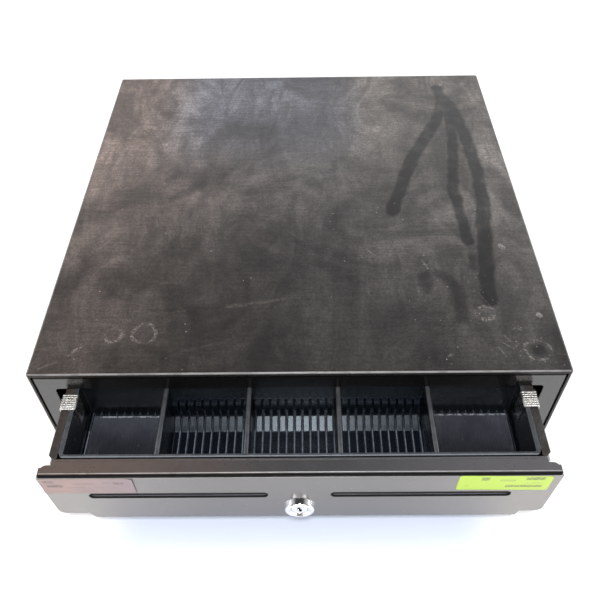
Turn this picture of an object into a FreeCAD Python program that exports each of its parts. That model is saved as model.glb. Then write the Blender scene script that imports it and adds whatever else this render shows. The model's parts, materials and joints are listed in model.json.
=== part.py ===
import FreeCAD, Part
import math
import os

# Cash drawer: a folded steel casing, a drawer on ball slides with a moulded till,
# a key lock in the drawer front, and a solenoid latch in the bay behind the drawer.
#
# Millimetres. +X is to the right, +Y to the back, +Z up. Everything is drawn with
# Y = 0 at the casing's front plane and Z = 0 under the feet. save() then moves it
# along Y so that the origin lies under the middle of the box of the whole object,
# with the drawer standing open by DRAWER_OPEN.

# ---------------------------------------------------------------- driving sizes
CASE_W = 410.0            # casing width
CASE_D = 420.0            # casing depth
HEIGHT = 100.0            # table to casing top
FOOT_H = 8.0              # rubber foot height
SHEET = 1.2               # folded steel, thick gauge
SKIN = 1.0                # cover steel
DRAWER_OPEN = 73.0        # how far the drawer stands out as drawn
DRAWER_DEPTH = 365.0      # drawer box, front wall to rear wall
FIT = 0.05                # running clearance of a shaft or a ball

# ---------------------------------------------------------------- casing
HALF_W = CASE_W / 2
COVER_BOTTOM = FOOT_H
COVER_R = 2.2             # bend radius of the cover
CORNER_CLEAR = 1.4        # keeps square sheets out of the cover's inner bends
HEM = 3.0                 # cover edge round the front
REAR_HEM = 13.0           # cover edge round the back
FRAME_GAP = 1.3           # dark joint between hem and face frame
FRAME_Y = 0.6             # face frame sits this far behind the hem
OPENING_HALF = 187.4      # drawer opening
OPENING_TOP = 81.2
OPENING_BOTTOM = 12.0
OPENING_R = 3.0
FLOOR_Z = FOOT_H + SHEET  # top of the base plate
BASE_WALL_TOP = 84.0
PANEL_Y = CASE_D - SKIN - SHEET   # inner face of the rear panel
FOOT_X = 178.0
FOOT_FRONT_Y = 32.0
FOOT_REAR_Y = 388.0

# ---------------------------------------------------------------- drawer box
FACE_Y = -DRAWER_OPEN             # front plane of the drawer front
PAN_HALF = 174.2                  # outer face of the side walls
PAN_FRONT = FACE_Y + 7.2          # outer face of the front wall
PAN_BACK = PAN_FRONT + DRAWER_DEPTH
PAN_BOTTOM = 16.5
PAN_FLOOR = PAN_BOTTOM + SHEET
PAN_TOP = 79.4                    # top of the side flanges
FLANGE_HALF = 179.0               # outer edge of the side flanges
FACE_HALF = 185.0                 # drawer front half-width at its top
FACE_END_HALF = 182.2             # and at its bottom corners
FACE_R = 6.0                      # radius of its bottom corners
FACE_TOP_R = 1.2                  # radius of its top corners
FACE_END_Z = 22.0                 # bottom edge near the ends
LIP_Z = 15.0                      # bottom edge of the finger lip
LIP_LEFT = -160.0
LIP_RIGHT = 166.0
LEDGE_TOP = 80.0
LEDGE_T = 1.1
LEDGE_FRONT = FACE_Y + 2.6        # leaves a dark joint behind the drawer front's edge
LEDGE_BACK = FACE_Y + 14.0
LEDGE_HALF = 175.7
LEDGE_DROP = 3.6                  # depth of its turned-down front edge
EAR_HALF = 183.2
EAR_BACK = FACE_Y + 9.5
SHADOW_GAP = 1.1                  # height of the joint under the ledge
FACE_TOP = LEDGE_TOP - LEDGE_T - SHADOW_GAP
SLOT_NEAR = 23.0                  # media slot, end near the lock
SLOT_FAR = 153.0
SLOT_Z = 51.2
SLOT_H = 6.0
CHUTE_ROOM = 4.0                  # room beside a media chute in the pan's front wall

# ---------------------------------------------------------------- slides
SLIDE_Z = 50.0
SLIDE_FRONT = 20.0                # both members lie level when the drawer is shut
SLIDE_LENGTH = 350.0
BALL_R = 2.35
BALL_X = 181.2
BALL_RISE = 14.4                  # ball centre above and below SLIDE_Z
BALLS_PER_ROW = 7
BALL_PITCH = 12.0
CAGE_LENGTH = 84.0
CAGE_FRONT_SHUT = 153.0           # cage position with the drawer shut
OUTER_WEB = 187.0                 # inner face of the outer member's web
BRACKET_WEB = OUTER_WEB + SHEET

# ---------------------------------------------------------------- till
TILL_HALF = 171.6
TILL_RIM_HALF = 172.5
TILL_INNER_HALF = 169.2
TILL_FRONT = FACE_Y + 15.5
TILL_FRONT_INNER = TILL_FRONT + 2.2
TILL_BACK = 292.0
TILL_UNDER = 35.0
TILL_FLOOR = 37.0
TILL_TOP = 79.8
DIVIDER_X = (-102.0, -38.0, 30.0, 98.5)
DIVIDER_T = 3.2
BEAD_R = 2.2                      # rounded top of a divider
COIN_WALL_Y = 5.0                 # wall behind the coin cups
NOTE_WALL_Y = 190.0               # wall behind the note bays
WALL_T = 3.0

# ---------------------------------------------------------------- lock
LOCK_Z = 34.0
BEZEL_R = 12.0                    # where it meets the drawer front
BEZEL_NOSE_R = 10.6
BEZEL_PROUD = 5.0
PLUG_SUNK = 1.5                   # plug face behind the bezel's nose
LOCK_BODY_R = 9.5
PLUG_R = 6.0
CAM_REACH = 22.8
CAM_Y = FACE_Y + 12.2
CAM_T = 2.0

# ---------------------------------------------------------------- latch bay
PIVOT_Y = 403.0
PIVOT_Z = 52.0
PIVOT_R = 2.0
PLUNGER_Y = 391.0
PLUNGER_R = 5.0
LINK_Z = 53.5
LINK_R = 1.2
STRIKER_PIN_Y = 387.0             # with the drawer shut
STRIKER_PIN_Z = 46.0
BRACKET_Y = 413.6                 # front face of the latch bracket
COIL_R = 11.5

# ---------------------------------------------------------------- fasteners
M3 = 1.5
M3_HEAD_R = 3.0
M3_HEAD_H = 1.8
RIVET_R = 1.6

REAR_SCREW_Y = CASE_D + M3_HEAD_H
FRONT_MOST = FACE_Y - BEZEL_PROUD
Y_SHIFT = -(REAR_SCREW_Y + FRONT_MOST) / 2


# ================================================================ helpers
def box(x0, x1, y0, y1, z0, z1):
    """A block between two corners."""
    corner = FreeCAD.Vector(min(x0, x1), min(y0, y1), min(z0, z1))
    return Part.makeBox(abs(x1 - x0), abs(y1 - y0), abs(z1 - z0), corner)


def rod_x(y, z, radius, x0, x1):
    return Part.makeCylinder(radius, x1 - x0, FreeCAD.Vector(x0, y, z), FreeCAD.Vector(1, 0, 0))


def rod_y(x, z, radius, y0, y1):
    return Part.makeCylinder(radius, y1 - y0, FreeCAD.Vector(x, y0, z), FreeCAD.Vector(0, 1, 0))


def rod_z(x, y, radius, z0, z1):
    return Part.makeCylinder(radius, z1 - z0, FreeCAD.Vector(x, y, z0), FreeCAD.Vector(0, 0, 1))


def join(*solids):
    """One solid from several that touch or overlap."""
    first, rest = solids[0], list(solids[1:])
    return first.multiFuse(rest).removeSplitter() if rest else first


def carve(solid, *tools):
    return solid.cut(Part.makeCompound(list(tools)))


def mirrored(shape):
    """The left-hand copy of a right-hand shape."""
    return shape.mirror(FreeCAD.Vector(0, 0, 0), FreeCAD.Vector(1, 0, 0))


def outline(points, plane, start, end):
    """A straight-sided outline in the XZ, YZ or XY plane, pulled from start to end."""
    place = {
        "xz": lambda a, b: FreeCAD.Vector(a, start, b),
        "yz": lambda a, b: FreeCAD.Vector(start, a, b),
        "xy": lambda a, b: FreeCAD.Vector(a, b, start),
    }[plane]
    pull = {
        "xz": FreeCAD.Vector(0, end - start, 0),
        "yz": FreeCAD.Vector(end - start, 0, 0),
        "xy": FreeCAD.Vector(0, 0, end - start),
    }[plane]
    corners = [place(a, b) for a, b in points]
    return Part.Face(Part.makePolygon(corners + corners[:1])).extrude(pull)


def soften(solid, radius, chosen):
    """Round the edges whose middle point passes the test."""
    edges = [e for e in solid.Edges if chosen(e.CenterOfMass, e)]
    return solid.makeFillet(radius, edges)


def near(a, b):
    return abs(a - b) < 0.01


def along(edge, axis):
    """True when a straight edge runs along axis (0 = X, 1 = Y, 2 = Z)."""
    if len(edge.Vertexes) != 2:
        return False
    step = edge.Vertexes[1].Point - edge.Vertexes[0].Point
    return abs(step[axis]) > 0.99 * step.Length


def rounded_plate(x0, x1, z0, z1, radius, y0, y1):
    """An upright plate with rounded corners."""
    plate = box(x0, x1, y0, y1, z0, z1)
    return soften(plate, radius, lambda c, e: along(e, 1))


def hexagon_y(x, z, across_flats, y0, y1):
    corner = across_flats / 2 / math.cos(math.pi / 6)
    turns = [math.pi / 3 * i for i in range(6)]
    points = [(x + corner * math.cos(t), z + corner * math.sin(t)) for t in turns]
    return outline(points, "xz", y0, y1)


def hexagon_z(x, y, across_flats, z0, z1):
    corner = across_flats / 2 / math.cos(math.pi / 6)
    turns = [math.pi / 3 * i for i in range(6)]
    points = [(x + corner * math.cos(t), y + corner * math.sin(t)) for t in turns]
    return outline(points, "xy", z0, z1)


def screw(base, direction, length, radius=M3, head_r=M3_HEAD_R, head_h=M3_HEAD_H):
    """A pan-head screw. base is under the head, direction points away from the head."""
    out = FreeCAD.Vector(*direction)
    seat = FreeCAD.Vector(*base)
    shank = Part.makeCylinder(radius, length, seat, out)
    head = Part.makeCylinder(head_r, head_h, seat - out * head_h, out)
    top = min(head.Edges, key=lambda e: (e.CenterOfMass - (seat - out * head_h)).Length)
    head = head.makeFillet(head_h * 0.4, [top])
    across = Part.makeBox(head_r * 1.1, 0.7, 1.0, FreeCAD.Vector(-head_r * 0.55, -0.35, -0.2))
    down = Part.makeBox(0.7, head_r * 1.1, 1.0, FreeCAD.Vector(-0.35, -head_r * 0.55, -0.2))
    turn = FreeCAD.Rotation(FreeCAD.Vector(0, 0, 1), out)
    for recess in (across, down):
        recess.Placement = FreeCAD.Placement(seat - out * head_h, turn).multiply(recess.Placement)
        head = head.cut(recess)
    return shank.fuse(head).removeSplitter()


def coil(radius, wire_r, pitch, turns, base, direction):
    """A helical spring of round wire, starting at base and climbing along direction."""
    helix = Part.makeHelix(pitch, pitch * turns, radius)
    start = Part.Circle(FreeCAD.Vector(radius, 0, 0), FreeCAD.Vector(0, 1, 0), wire_r)
    section = Part.Wire([start.toShape()])
    spring = Part.Wire(helix.Edges).makePipeShell([section], True, True)
    turn = FreeCAD.Rotation(FreeCAD.Vector(0, 0, 1), FreeCAD.Vector(*direction))
    spring.Placement = FreeCAD.Placement(FreeCAD.Vector(*base), turn)
    return spring


def save(node, *solids):
    """Write one node: its solids as one STEP file in the object's own frame."""
    group = Part.makeCompound([s for shape in solids for s in shape.Solids])
    group.translate(FreeCAD.Vector(0, Y_SHIFT, 0))
    for solid in group.Solids:
        if not solid.isValid():
            raise RuntimeError(node + " has a solid that isn't valid")
    group.exportStep("parts/" + node + ".step")


# ================================================================ casing
FRONT_FRAME_SCREWS = [(x, 5.0) for x in (-150.0, -60.0, 60.0, 150.0)]
KEEPER_SCREWS = [(-12.0, 17.0), (12.0, 17.0)]
LATCH_SCREWS = [(-20.0, 404.0), (20.0, 404.0)]
SWITCH_SCREWS = [(-68.0, 386.0), (-56.0, 386.0)]
EJECTOR_SCREWS = [(104.0, 406.0), (116.0, 406.0)]
FLOOR_SCREWS = FRONT_FRAME_SCREWS + KEEPER_SCREWS + LATCH_SCREWS + SWITCH_SCREWS + EJECTOR_SCREWS
REAR_SCREWS = [(x, 92.0) for x in (-150.0, -50.0, 50.0, 150.0)] + [(-197.0, 40.0), (197.0, 40.0)]
SIDE_SCREWS = [(60.0, 17.0), (360.0, 17.0)]
SLIDE_SCREWS = [45.0, 345.0]
FEET = [(x, y) for x in (-FOOT_X, FOOT_X) for y in (FOOT_FRONT_Y, FOOT_REAR_Y)]
SOCKET_X = 150.0
SOCKET_Z = 34.0
SOCKET_HALF_W = 7.0
SOCKET_HALF_H = 8.0


def cover_block(inset, radius):
    """The cover's outer form, or its inner form when inset by the sheet."""
    half = HALF_W - inset
    low = COVER_BOTTOM - inset
    block = box(-half, half, inset, CASE_D - inset, low, HEIGHT - inset)
    return soften(block, radius, lambda c, e: along(e, 2) or near(c.z, HEIGHT - inset))


def top_cover():
    shell = cover_block(0.0, COVER_R).cut(cover_block(SKIN, COVER_R - SKIN))
    half_front = HALF_W - HEM
    front = box(-half_front, half_front, -1, SKIN + 1.5, COVER_BOTTOM - 2, HEIGHT - HEM)
    half_rear = HALF_W - REAR_HEM
    rear = box(-half_rear, half_rear, CASE_D - 3, CASE_D + 1, COVER_BOTTOM - 2, HEIGHT - REAR_HEM)
    rear_holes = [rod_y(x, z, M3, CASE_D - 2, CASE_D + 1) for x, z in REAR_SCREWS]
    side_holes = [rod_x(y, z, M3, -HALF_W - 1, HALF_W + 1) for y, z in SIDE_SCREWS]
    return carve(shell, front, rear, *rear_holes, *side_holes)


def base_chassis():
    half = HALF_W - SKIN
    front = SKIN + CORNER_CLEAR
    plate = box(-half, half, front, PANEL_Y, FOOT_H, FLOOR_Z)
    wall = box(half - SHEET, half, front, PANEL_Y, FLOOR_Z, BASE_WALL_TOP)
    rear_lip = box(-half + SHEET, half - SHEET, PANEL_Y - SHEET, PANEL_Y, FLOOR_Z, 24.0)
    floor_holes = [rod_z(x, y, M3, FOOT_H - 1, FLOOR_Z + 1) for x, y in FLOOR_SCREWS]
    foot_holes = [rod_z(x, y, 2.0, FOOT_H - 1, FLOOR_Z + 1) for x, y in FEET]
    side_holes = [rod_x(y, z, M3, -HALF_W, HALF_W) for y, z in SIDE_SCREWS]
    body = join(plate, wall, mirrored(wall), rear_lip)
    return carve(body, *floor_holes, *foot_holes, *side_holes)


def front_frame():
    half = HALF_W - HEM - FRAME_GAP
    top = HEIGHT - HEM - FRAME_GAP
    back = FRAME_Y + SHEET
    depth = 14.0
    plate = rounded_plate(-half, half, FLOOR_Z, top, 1.0, FRAME_Y, back)
    mouth = rounded_plate(
        -OPENING_HALF, OPENING_HALF, OPENING_BOTTOM, OPENING_TOP, OPENING_R, FRAME_Y - 1, back + 1)
    side = box(half - SHEET, half, back, depth, FLOOR_Z + 1.0, top - 1.0)
    head = box(-half + 1.0, half - 1.0, back, depth, top - SHEET, top)
    foot = box(-half + 1.0, half - 1.0, back, 9.0, FLOOR_Z, FLOOR_Z + SHEET)
    holes = [rod_z(x, y, M3, FLOOR_Z - 1, FLOOR_Z + 3) for x, y in FRONT_FRAME_SCREWS]
    return carve(join(plate.cut(mouth), side, mirrored(side), head, foot), *holes)


def rear_panel():
    half = HALF_W - SKIN - CORNER_CLEAR
    plate = box(-half, half, PANEL_Y, PANEL_Y + SHEET, FLOOR_Z + 0.1, HEIGHT - SKIN - CORNER_CLEAR)
    stiffener = box(-half + 6, half - 6, PANEL_Y - 10, PANEL_Y, HEIGHT - 4.0, HEIGHT - 4.0 + SHEET)
    holes = [rod_y(x, z, M3, PANEL_Y - 1, CASE_D) for x, z in REAR_SCREWS]
    port = box(SOCKET_X - SOCKET_HALF_W, SOCKET_X + SOCKET_HALF_W, PANEL_Y - 1, CASE_D,
               SOCKET_Z - SOCKET_HALF_H, SOCKET_Z + SOCKET_HALF_H)
    vents = []
    for column in range(3):
        for row in range(4):
            x = -150.0 + 38.0 * column
            z = 46.0 + 8.0 * row
            vents.append(rounded_plate(x, x + 28.0, z, z + 2.6, 1.25, PANEL_Y - 1, CASE_D))
    return carve(join(plate, stiffener), *holes, port, *vents)


def rubber_foot(x, y):
    foot = Part.makeCone(9.0, 11.0, FOOT_H, FreeCAD.Vector(x, y, 0))
    foot = soften(foot, 1.0, lambda c, e: near(c.z, 0))
    return carve(foot, rod_z(x, y, 2.0, -1, FOOT_H + 1), rod_z(x, y, 4.4, -1, 3.6))


def foot_screw(x, y):
    return screw((x, y, 3.6), (0, 0, 1), 9.8, 2.0, 4.0, 2.2)


def foot_nut(x, y):
    return hexagon_z(x, y, 7.0, FLOOR_Z, FLOOR_Z + 3.2).cut(rod_z(x, y, 2.0, FLOOR_Z - 1, FLOOR_Z + 4))


def lock_keeper():
    """Upright tab on the base that the lock's cam turns down behind."""
    upright = box(-16, 16, 9.4, 10.6, FLOOR_Z, 14.2)
    foot = box(-16, 16, 10.6, 22, FLOOR_Z, FLOOR_Z + SHEET)
    holes = [rod_z(x, y, M3, FLOOR_Z - 1, FLOOR_Z + 3) for x, y in KEEPER_SCREWS]
    return carve(join(upright, foot), *holes)


def connector_socket():
    """Modular socket for the till printer's lead, let into the rear panel."""
    face = CASE_D - SKIN + 0.3
    body = box(SOCKET_X - SOCKET_HALF_W, SOCKET_X + SOCKET_HALF_W, face - 18.0, face,
               SOCKET_Z - SOCKET_HALF_H, SOCKET_Z + SOCKET_HALF_H)
    port = box(SOCKET_X - 5.0, SOCKET_X + 5.0, face - 12.5, face + 1, SOCKET_Z - 3.6, SOCKET_Z + 3.6)
    catch = box(SOCKET_X - 2.2, SOCKET_X + 2.2, face - 7.0, face + 1, SOCKET_Z - 5.6, SOCKET_Z - 3.0)
    return carve(body, port, catch)


def socket_contact(index):
    x = SOCKET_X + 1.3 * (index - 2.5)
    face = CASE_D - SKIN + 0.3
    return box(x - 0.25, x + 0.25, face - 12.5, face - 5.0, SOCKET_Z + 3.0, SOCKET_Z + 3.6)


# ================================================================ slides, right-hand side
def rail_bracket():
    web = box(BRACKET_WEB, BRACKET_WEB + SHEET, SLIDE_FRONT, SLIDE_FRONT + SLIDE_LENGTH, 28.0, 72.0)
    wall = HALF_W - SKIN - SHEET
    upper = box(BRACKET_WEB + SHEET, wall, SLIDE_FRONT, SLIDE_FRONT + SLIDE_LENGTH, 72.0 - SHEET, 72.0)
    lower = box(BRACKET_WEB + SHEET, wall, SLIDE_FRONT, SLIDE_FRONT + SLIDE_LENGTH, 28.0, 28.0 + SHEET)
    holes = [rod_x(y, SLIDE_Z, 2.0, BRACKET_WEB - 1, BRACKET_WEB + 3) for y in SLIDE_SCREWS]
    return carve(join(web, upper, lower), *holes)


def outer_rail():
    """C-shaped member fixed to the casing. Its lips run over and under the balls."""
    rise = BALL_RISE + BALL_R + FIT
    back = SLIDE_FRONT + SLIDE_LENGTH
    tall = rise + SHEET
    web = box(OUTER_WEB, OUTER_WEB + SHEET, SLIDE_FRONT, back, SLIDE_Z - tall, SLIDE_Z + tall)
    pieces = [web]
    for side in (-1, 1):
        lip = SLIDE_Z + side * rise
        edge = SLIDE_Z + side * tall
        curl = SLIDE_Z + side * (BALL_RISE - 1.2)
        pieces.append(box(176.4, OUTER_WEB, SLIDE_FRONT, back, lip, edge))
        pieces.append(box(176.4, 176.4 + SHEET, SLIDE_FRONT, back, curl, lip))
    holes = [rod_x(y, SLIDE_Z, 2.0, OUTER_WEB - 1, OUTER_WEB + 3) for y in SLIDE_SCREWS]
    return carve(join(*pieces), *holes)


def inner_rail():
    """C-shaped member fixed to the drawer. Its lips carry the balls."""
    rise = BALL_RISE - BALL_R - FIT
    front = SLIDE_FRONT - DRAWER_OPEN
    back = front + SLIDE_LENGTH
    web = box(PAN_HALF, PAN_HALF + SHEET, front, back, SLIDE_Z - rise, SLIDE_Z + rise)
    pieces = [web]
    for side in (-1, 1):
        low = SLIDE_Z + side * (rise - SHEET)
        pieces.append(box(PAN_HALF + SHEET, 184.2, front, back, low, SLIDE_Z + side * rise))
    holes = [rod_x(y - DRAWER_OPEN, SLIDE_Z, RIVET_R, PAN_HALF - 1, PAN_HALF + 3) for y in RIVETS]
    return carve(join(*pieces), *holes)


RIVETS = [50.0, 195.0, 340.0]     # along the slide, drawer shut
CAGE_FRONT = CAGE_FRONT_SHUT - DRAWER_OPEN / 2
BALL_STARTS = [CAGE_FRONT + 6.0 + BALL_PITCH * i for i in range(BALLS_PER_ROW)]


def rail_rivet(y):
    """Solid rivet holding the inner member to the drawer's side wall."""
    shank = rod_x(y - DRAWER_OPEN, SLIDE_Z, RIVET_R, PAN_HALF - SHEET, PAN_HALF + SHEET)
    head = rod_x(y - DRAWER_OPEN, SLIDE_Z, 3.2, PAN_HALF + SHEET, PAN_HALF + 2 * SHEET)
    return join(shank, head)


def rail_screw(y):
    return screw((OUTER_WEB, y, SLIDE_Z), (1, 0, 0), 5.0, 2.0, 4.0, 1.0)


def ball_cage():
    back = CAGE_FRONT + CAGE_LENGTH
    top = BALL_RISE + 0.4
    pieces = [box(185.0, 185.8, CAGE_FRONT, back, SLIDE_Z - top, SLIDE_Z + top)]
    for side in (-1, 1):
        low = SLIDE_Z + side * (BALL_RISE - 0.4)
        pieces.append(box(178.0, 185.0, CAGE_FRONT, back, low, SLIDE_Z + side * top))
    holes = []
    for side in (-1, 1):
        z = SLIDE_Z + side * BALL_RISE
        holes += [rod_z(BALL_X, y, BALL_R + FIT, z - 2, z + 2) for y in BALL_STARTS]
    return carve(join(*pieces), *holes)


def bearing_balls():
    balls = []
    for side in (-1, 1):
        z = SLIDE_Z + side * BALL_RISE
        for y in BALL_STARTS:
            balls.append(Part.makeSphere(BALL_R, FreeCAD.Vector(BALL_X, y, z)))
    return Part.makeCompound(balls)


# ================================================================ drawer
FRONT_SCREWS = [(x, z) for x in (-168.0, 168.0) for z in (32.0, 68.0)]
STRIKER_SCREWS = [(-14.0, 46.0), (14.0, 46.0)]
CHUTE_BACK = FACE_Y + 12.6


def chute_notch(y0, y1):
    """Cut-out in the pan's front wall for a media chute, open at the top under the ledge."""
    return box(SLOT_NEAR - CHUTE_ROOM, SLOT_FAR + CHUTE_ROOM, y0, y1, SLOT_Z - SLOT_H / 2 - 2.4, LEDGE_TOP)


def drawer_pan():
    wall_top = PAN_TOP - SHEET
    floor = box(-PAN_HALF, PAN_HALF, PAN_FRONT, PAN_BACK, PAN_BOTTOM, PAN_FLOOR)
    side = box(PAN_HALF - SHEET, PAN_HALF, PAN_FRONT, PAN_BACK, PAN_FLOOR, wall_top)
    inner = PAN_HALF - SHEET
    ledge_under = LEDGE_TOP - LEDGE_T
    front = box(-inner, inner, PAN_FRONT, PAN_FRONT + SHEET, PAN_FLOOR, ledge_under)
    rear = box(-inner, inner, PAN_BACK - SHEET, PAN_BACK, PAN_FLOOR, wall_top)
    flange_front = FACE_Y + 15.0
    flange = outline(
        [(inner, flange_front), (FLANGE_HALF - 2.6, flange_front), (FLANGE_HALF, flange_front + 2.6),
         (FLANGE_HALF, PAN_BACK), (inner, PAN_BACK)], "xy", wall_top, PAN_TOP)
    body = join(floor, side, mirrored(side), front, rear, flange, mirrored(flange))
    through = (PAN_FRONT - 1, PAN_FRONT + SHEET + 1)
    slots = [chute_notch(*through), mirrored(chute_notch(*through))]
    lock_hole = rod_y(0, LOCK_Z, LOCK_BODY_R + 0.1, *through)
    cam_slot = box(-6.5, 20.0, CAM_Y - 0.8, CAM_Y + CAM_T + 0.8, PAN_BOTTOM - 1, PAN_FLOOR + 1)
    screws = [rod_y(x, z, M3, *through) for x, z in FRONT_SCREWS]
    rear_holes = [rod_y(x, z, M3, PAN_BACK - 3, PAN_BACK + 1) for x, z in STRIKER_SCREWS]
    rivets = []
    for y in RIVETS:
        rivets.append(rod_x(y - DRAWER_OPEN, SLIDE_Z, RIVET_R, -PAN_HALF - 1, PAN_HALF + 1))
    return carve(body, *slots, lock_hole, cam_slot, *screws, *rear_holes, *rivets)


def face_outline(inset, top):
    """Corner points of the drawer front seen from the front, with its finger lip."""
    half_top = FACE_HALF - inset
    half_end = FACE_END_HALF - inset
    end = FACE_END_Z + inset
    lip = LIP_Z + inset
    slope = end - lip
    left = LIP_LEFT + inset * 0.8
    right = LIP_RIGHT - inset * 0.8
    return [(-half_end, end), (left, end), (left + slope * 0.5, lip), (right - slope * 0.25, lip),
            (right, end), (half_end, end), (half_top, top), (-half_top, top)]


def drawer_front_panel():
    """Folded front, open along its top: a face with returned edges, and tabs for its screws."""
    block = outline(face_outline(0.0, FACE_TOP), "xz", FACE_Y, PAN_FRONT)
    block = soften(block, FACE_R, lambda c, e: along(e, 1) and near(abs(c.x), FACE_END_HALF))
    block = soften(block, FACE_TOP_R, lambda c, e: along(e, 1) and near(abs(c.x), FACE_HALF))
    tab = box(FACE_HALF - 24.0, FACE_HALF, PAN_FRONT - SHEET, PAN_FRONT, FACE_END_Z, FACE_TOP).common(block)
    block = soften(block, 0.9, lambda c, e: near(c.y, FACE_Y))
    hollow = outline(face_outline(SHEET, FACE_TOP + 1.0), "xz", FACE_Y + SHEET, PAN_FRONT + 1)
    inner_end = FACE_END_HALF - SHEET
    hollow = soften(hollow, FACE_R - SHEET, lambda c, e: along(e, 1) and near(abs(c.x), inner_end))
    panel = join(block.cut(hollow), tab, mirrored(tab))
    half_h = SLOT_H / 2
    slot = rounded_plate(SLOT_NEAR, SLOT_FAR, SLOT_Z - half_h, SLOT_Z + half_h, half_h - 0.1,
                         FACE_Y - 1, FACE_Y + SHEET + 1)
    lock_hole = rod_y(0, LOCK_Z, LOCK_BODY_R + 0.1, FACE_Y - 1, FACE_Y + 3)
    holes = [rod_y(x, z, M3, PAN_FRONT - 3, PAN_FRONT + 1) for x, z in FRONT_SCREWS]
    return carve(panel, slot, mirrored(slot), lock_hole, *holes)


def drawer_ledge():
    """Strip along the drawer's top edge, with an ear at each end and its front edge turned down."""
    under = LEDGE_TOP - LEDGE_T
    points = [(-EAR_HALF, LEDGE_FRONT), (EAR_HALF, LEDGE_FRONT), (EAR_HALF, EAR_BACK),
              (LEDGE_HALF, EAR_BACK), (LEDGE_HALF, LEDGE_BACK), (-LEDGE_HALF, LEDGE_BACK),
              (-LEDGE_HALF, EAR_BACK), (-EAR_HALF, EAR_BACK)]
    strip = outline(points, "xy", under, LEDGE_TOP)
    drop = box(-EAR_HALF, EAR_HALF, LEDGE_FRONT, LEDGE_FRONT + LEDGE_T, LEDGE_TOP - LEDGE_DROP, under)
    strip = join(strip, drop)
    strip = soften(strip, 5.0, lambda c, e: along(e, 2) and near(abs(c.x), EAR_HALF) and near(c.y, EAR_BACK))
    strip = soften(strip, 1.0, lambda c, e: along(e, 0) and near(c.y, LEDGE_FRONT) and near(c.z, LEDGE_TOP))
    groove = box(-LEDGE_HALF + 2, LEDGE_HALF - 2, LEDGE_BACK - 1.8, LEDGE_BACK - 1.1,
                 LEDGE_TOP - 0.5, LEDGE_TOP + 1)
    return strip.cut(groove)


def media_chute():
    """Spout behind a slot in the drawer front, for slips that drop under the till."""
    half = SLOT_H / 2
    wall = 1.5
    behind = FACE_Y + SHEET
    tube = box(SLOT_NEAR - wall - 0.6, SLOT_FAR + wall + 0.6, behind, CHUTE_BACK,
               SLOT_Z - half - wall - 0.6, SLOT_Z + half + wall + 0.6)
    flange = box(SLOT_NEAR - 5.0, SLOT_FAR + 5.0, behind, behind + 1.5,
                 SLOT_Z - half - 5.0, SLOT_Z + half + 5.0)
    bore = box(SLOT_NEAR - 0.6, SLOT_FAR + 0.6, behind - 1, CHUTE_BACK + 1,
               SLOT_Z - half - 0.6, SLOT_Z + half + 0.6)
    return join(tube, flange).cut(bore)


def till_shelf():
    """Angle on the drawer's side wall that the till stands on."""
    inner = PAN_HALF - SHEET
    shelf = box(158.0, inner, TILL_FRONT + 4.0, TILL_BACK - 4.0, TILL_UNDER - SHEET, TILL_UNDER)
    leg = box(inner - SHEET, inner, TILL_FRONT + 4.0, TILL_BACK - 4.0, 22.0, TILL_UNDER - SHEET)
    return join(shelf, leg)


def striker():
    """Staple on the drawer's rear wall that the latch drops over."""
    pin_y = STRIKER_PIN_Y - DRAWER_OPEN
    plate = box(-18, 18, PAN_BACK, PAN_BACK + 1.5, 38, 54)
    arm = box(8, 10, PAN_BACK + 1.5, pin_y + 3.0, 42, 50)
    pin = rod_x(pin_y, STRIKER_PIN_Z, 2.0, -8, 8)
    holes = [rod_y(x, z, M3, PAN_BACK - 1, PAN_BACK + 3) for x, z in STRIKER_SCREWS]
    return carve(join(plate, arm, mirrored(arm), pin), *holes)


def paper_label(x0, x1, z0, z1, radius, tilt):
    """A thin label stuck on the drawer front, turned a little about its middle."""
    label = rounded_plate(x0, x1, z0, z1, radius, FACE_Y - 0.14, FACE_Y)
    middle = FreeCAD.Vector((x0 + x1) / 2, FACE_Y, (z0 + z1) / 2)
    label.rotate(middle, FreeCAD.Vector(0, 1, 0), tilt)
    return label


# ================================================================ lock
def lock_barrel():
    """Tapered bezel and threaded body in one turned piece, bored for the plug."""
    nose = FACE_Y - BEZEL_PROUD
    inward = FreeCAD.Vector(0, 1, 0)
    ring = Part.makeCone(BEZEL_NOSE_R, BEZEL_R, BEZEL_PROUD, FreeCAD.Vector(0, nose, LOCK_Z), inward)
    ring = soften(ring, 1.6, lambda c, e: near(c.y, nose))
    body = rod_y(0, LOCK_Z, LOCK_BODY_R, FACE_Y, CAM_Y - 0.2)
    dish = Part.makeCone(8.2, PLUG_R + FIT, PLUG_SUNK, FreeCAD.Vector(0, nose, LOCK_Z), inward)
    bore = rod_y(0, LOCK_Z, PLUG_R + FIT, nose - 1, CAM_Y + 1)
    return carve(join(ring, body), dish, bore)


def lock_plug():
    nose = FACE_Y - BEZEL_PROUD + PLUG_SUNK
    plug = rod_y(0, LOCK_Z, PLUG_R, nose, CAM_Y)
    plug = soften(plug, 0.5, lambda c, e: near(c.y, nose))
    keyway_end = nose + 8.0
    upper = rounded_plate(-1.6, 0.5, LOCK_Z - 0.5, LOCK_Z + 3.4, 0.4, nose - 1, keyway_end)
    lower = rounded_plate(-0.5, 1.6, LOCK_Z - 3.4, LOCK_Z + 0.5, 0.4, nose - 1, keyway_end)
    thread = rod_y(0, LOCK_Z, M3, CAM_Y - 7.0, CAM_Y + 1)
    return carve(plug, join(upper, lower), thread)


def lock_nut():
    back = PAN_FRONT + SHEET
    nut = hexagon_y(0, LOCK_Z, 24.0, back, back + 2.8)
    return nut.cut(rod_y(0, LOCK_Z, LOCK_BODY_R, back - 1, back + 4))


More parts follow.
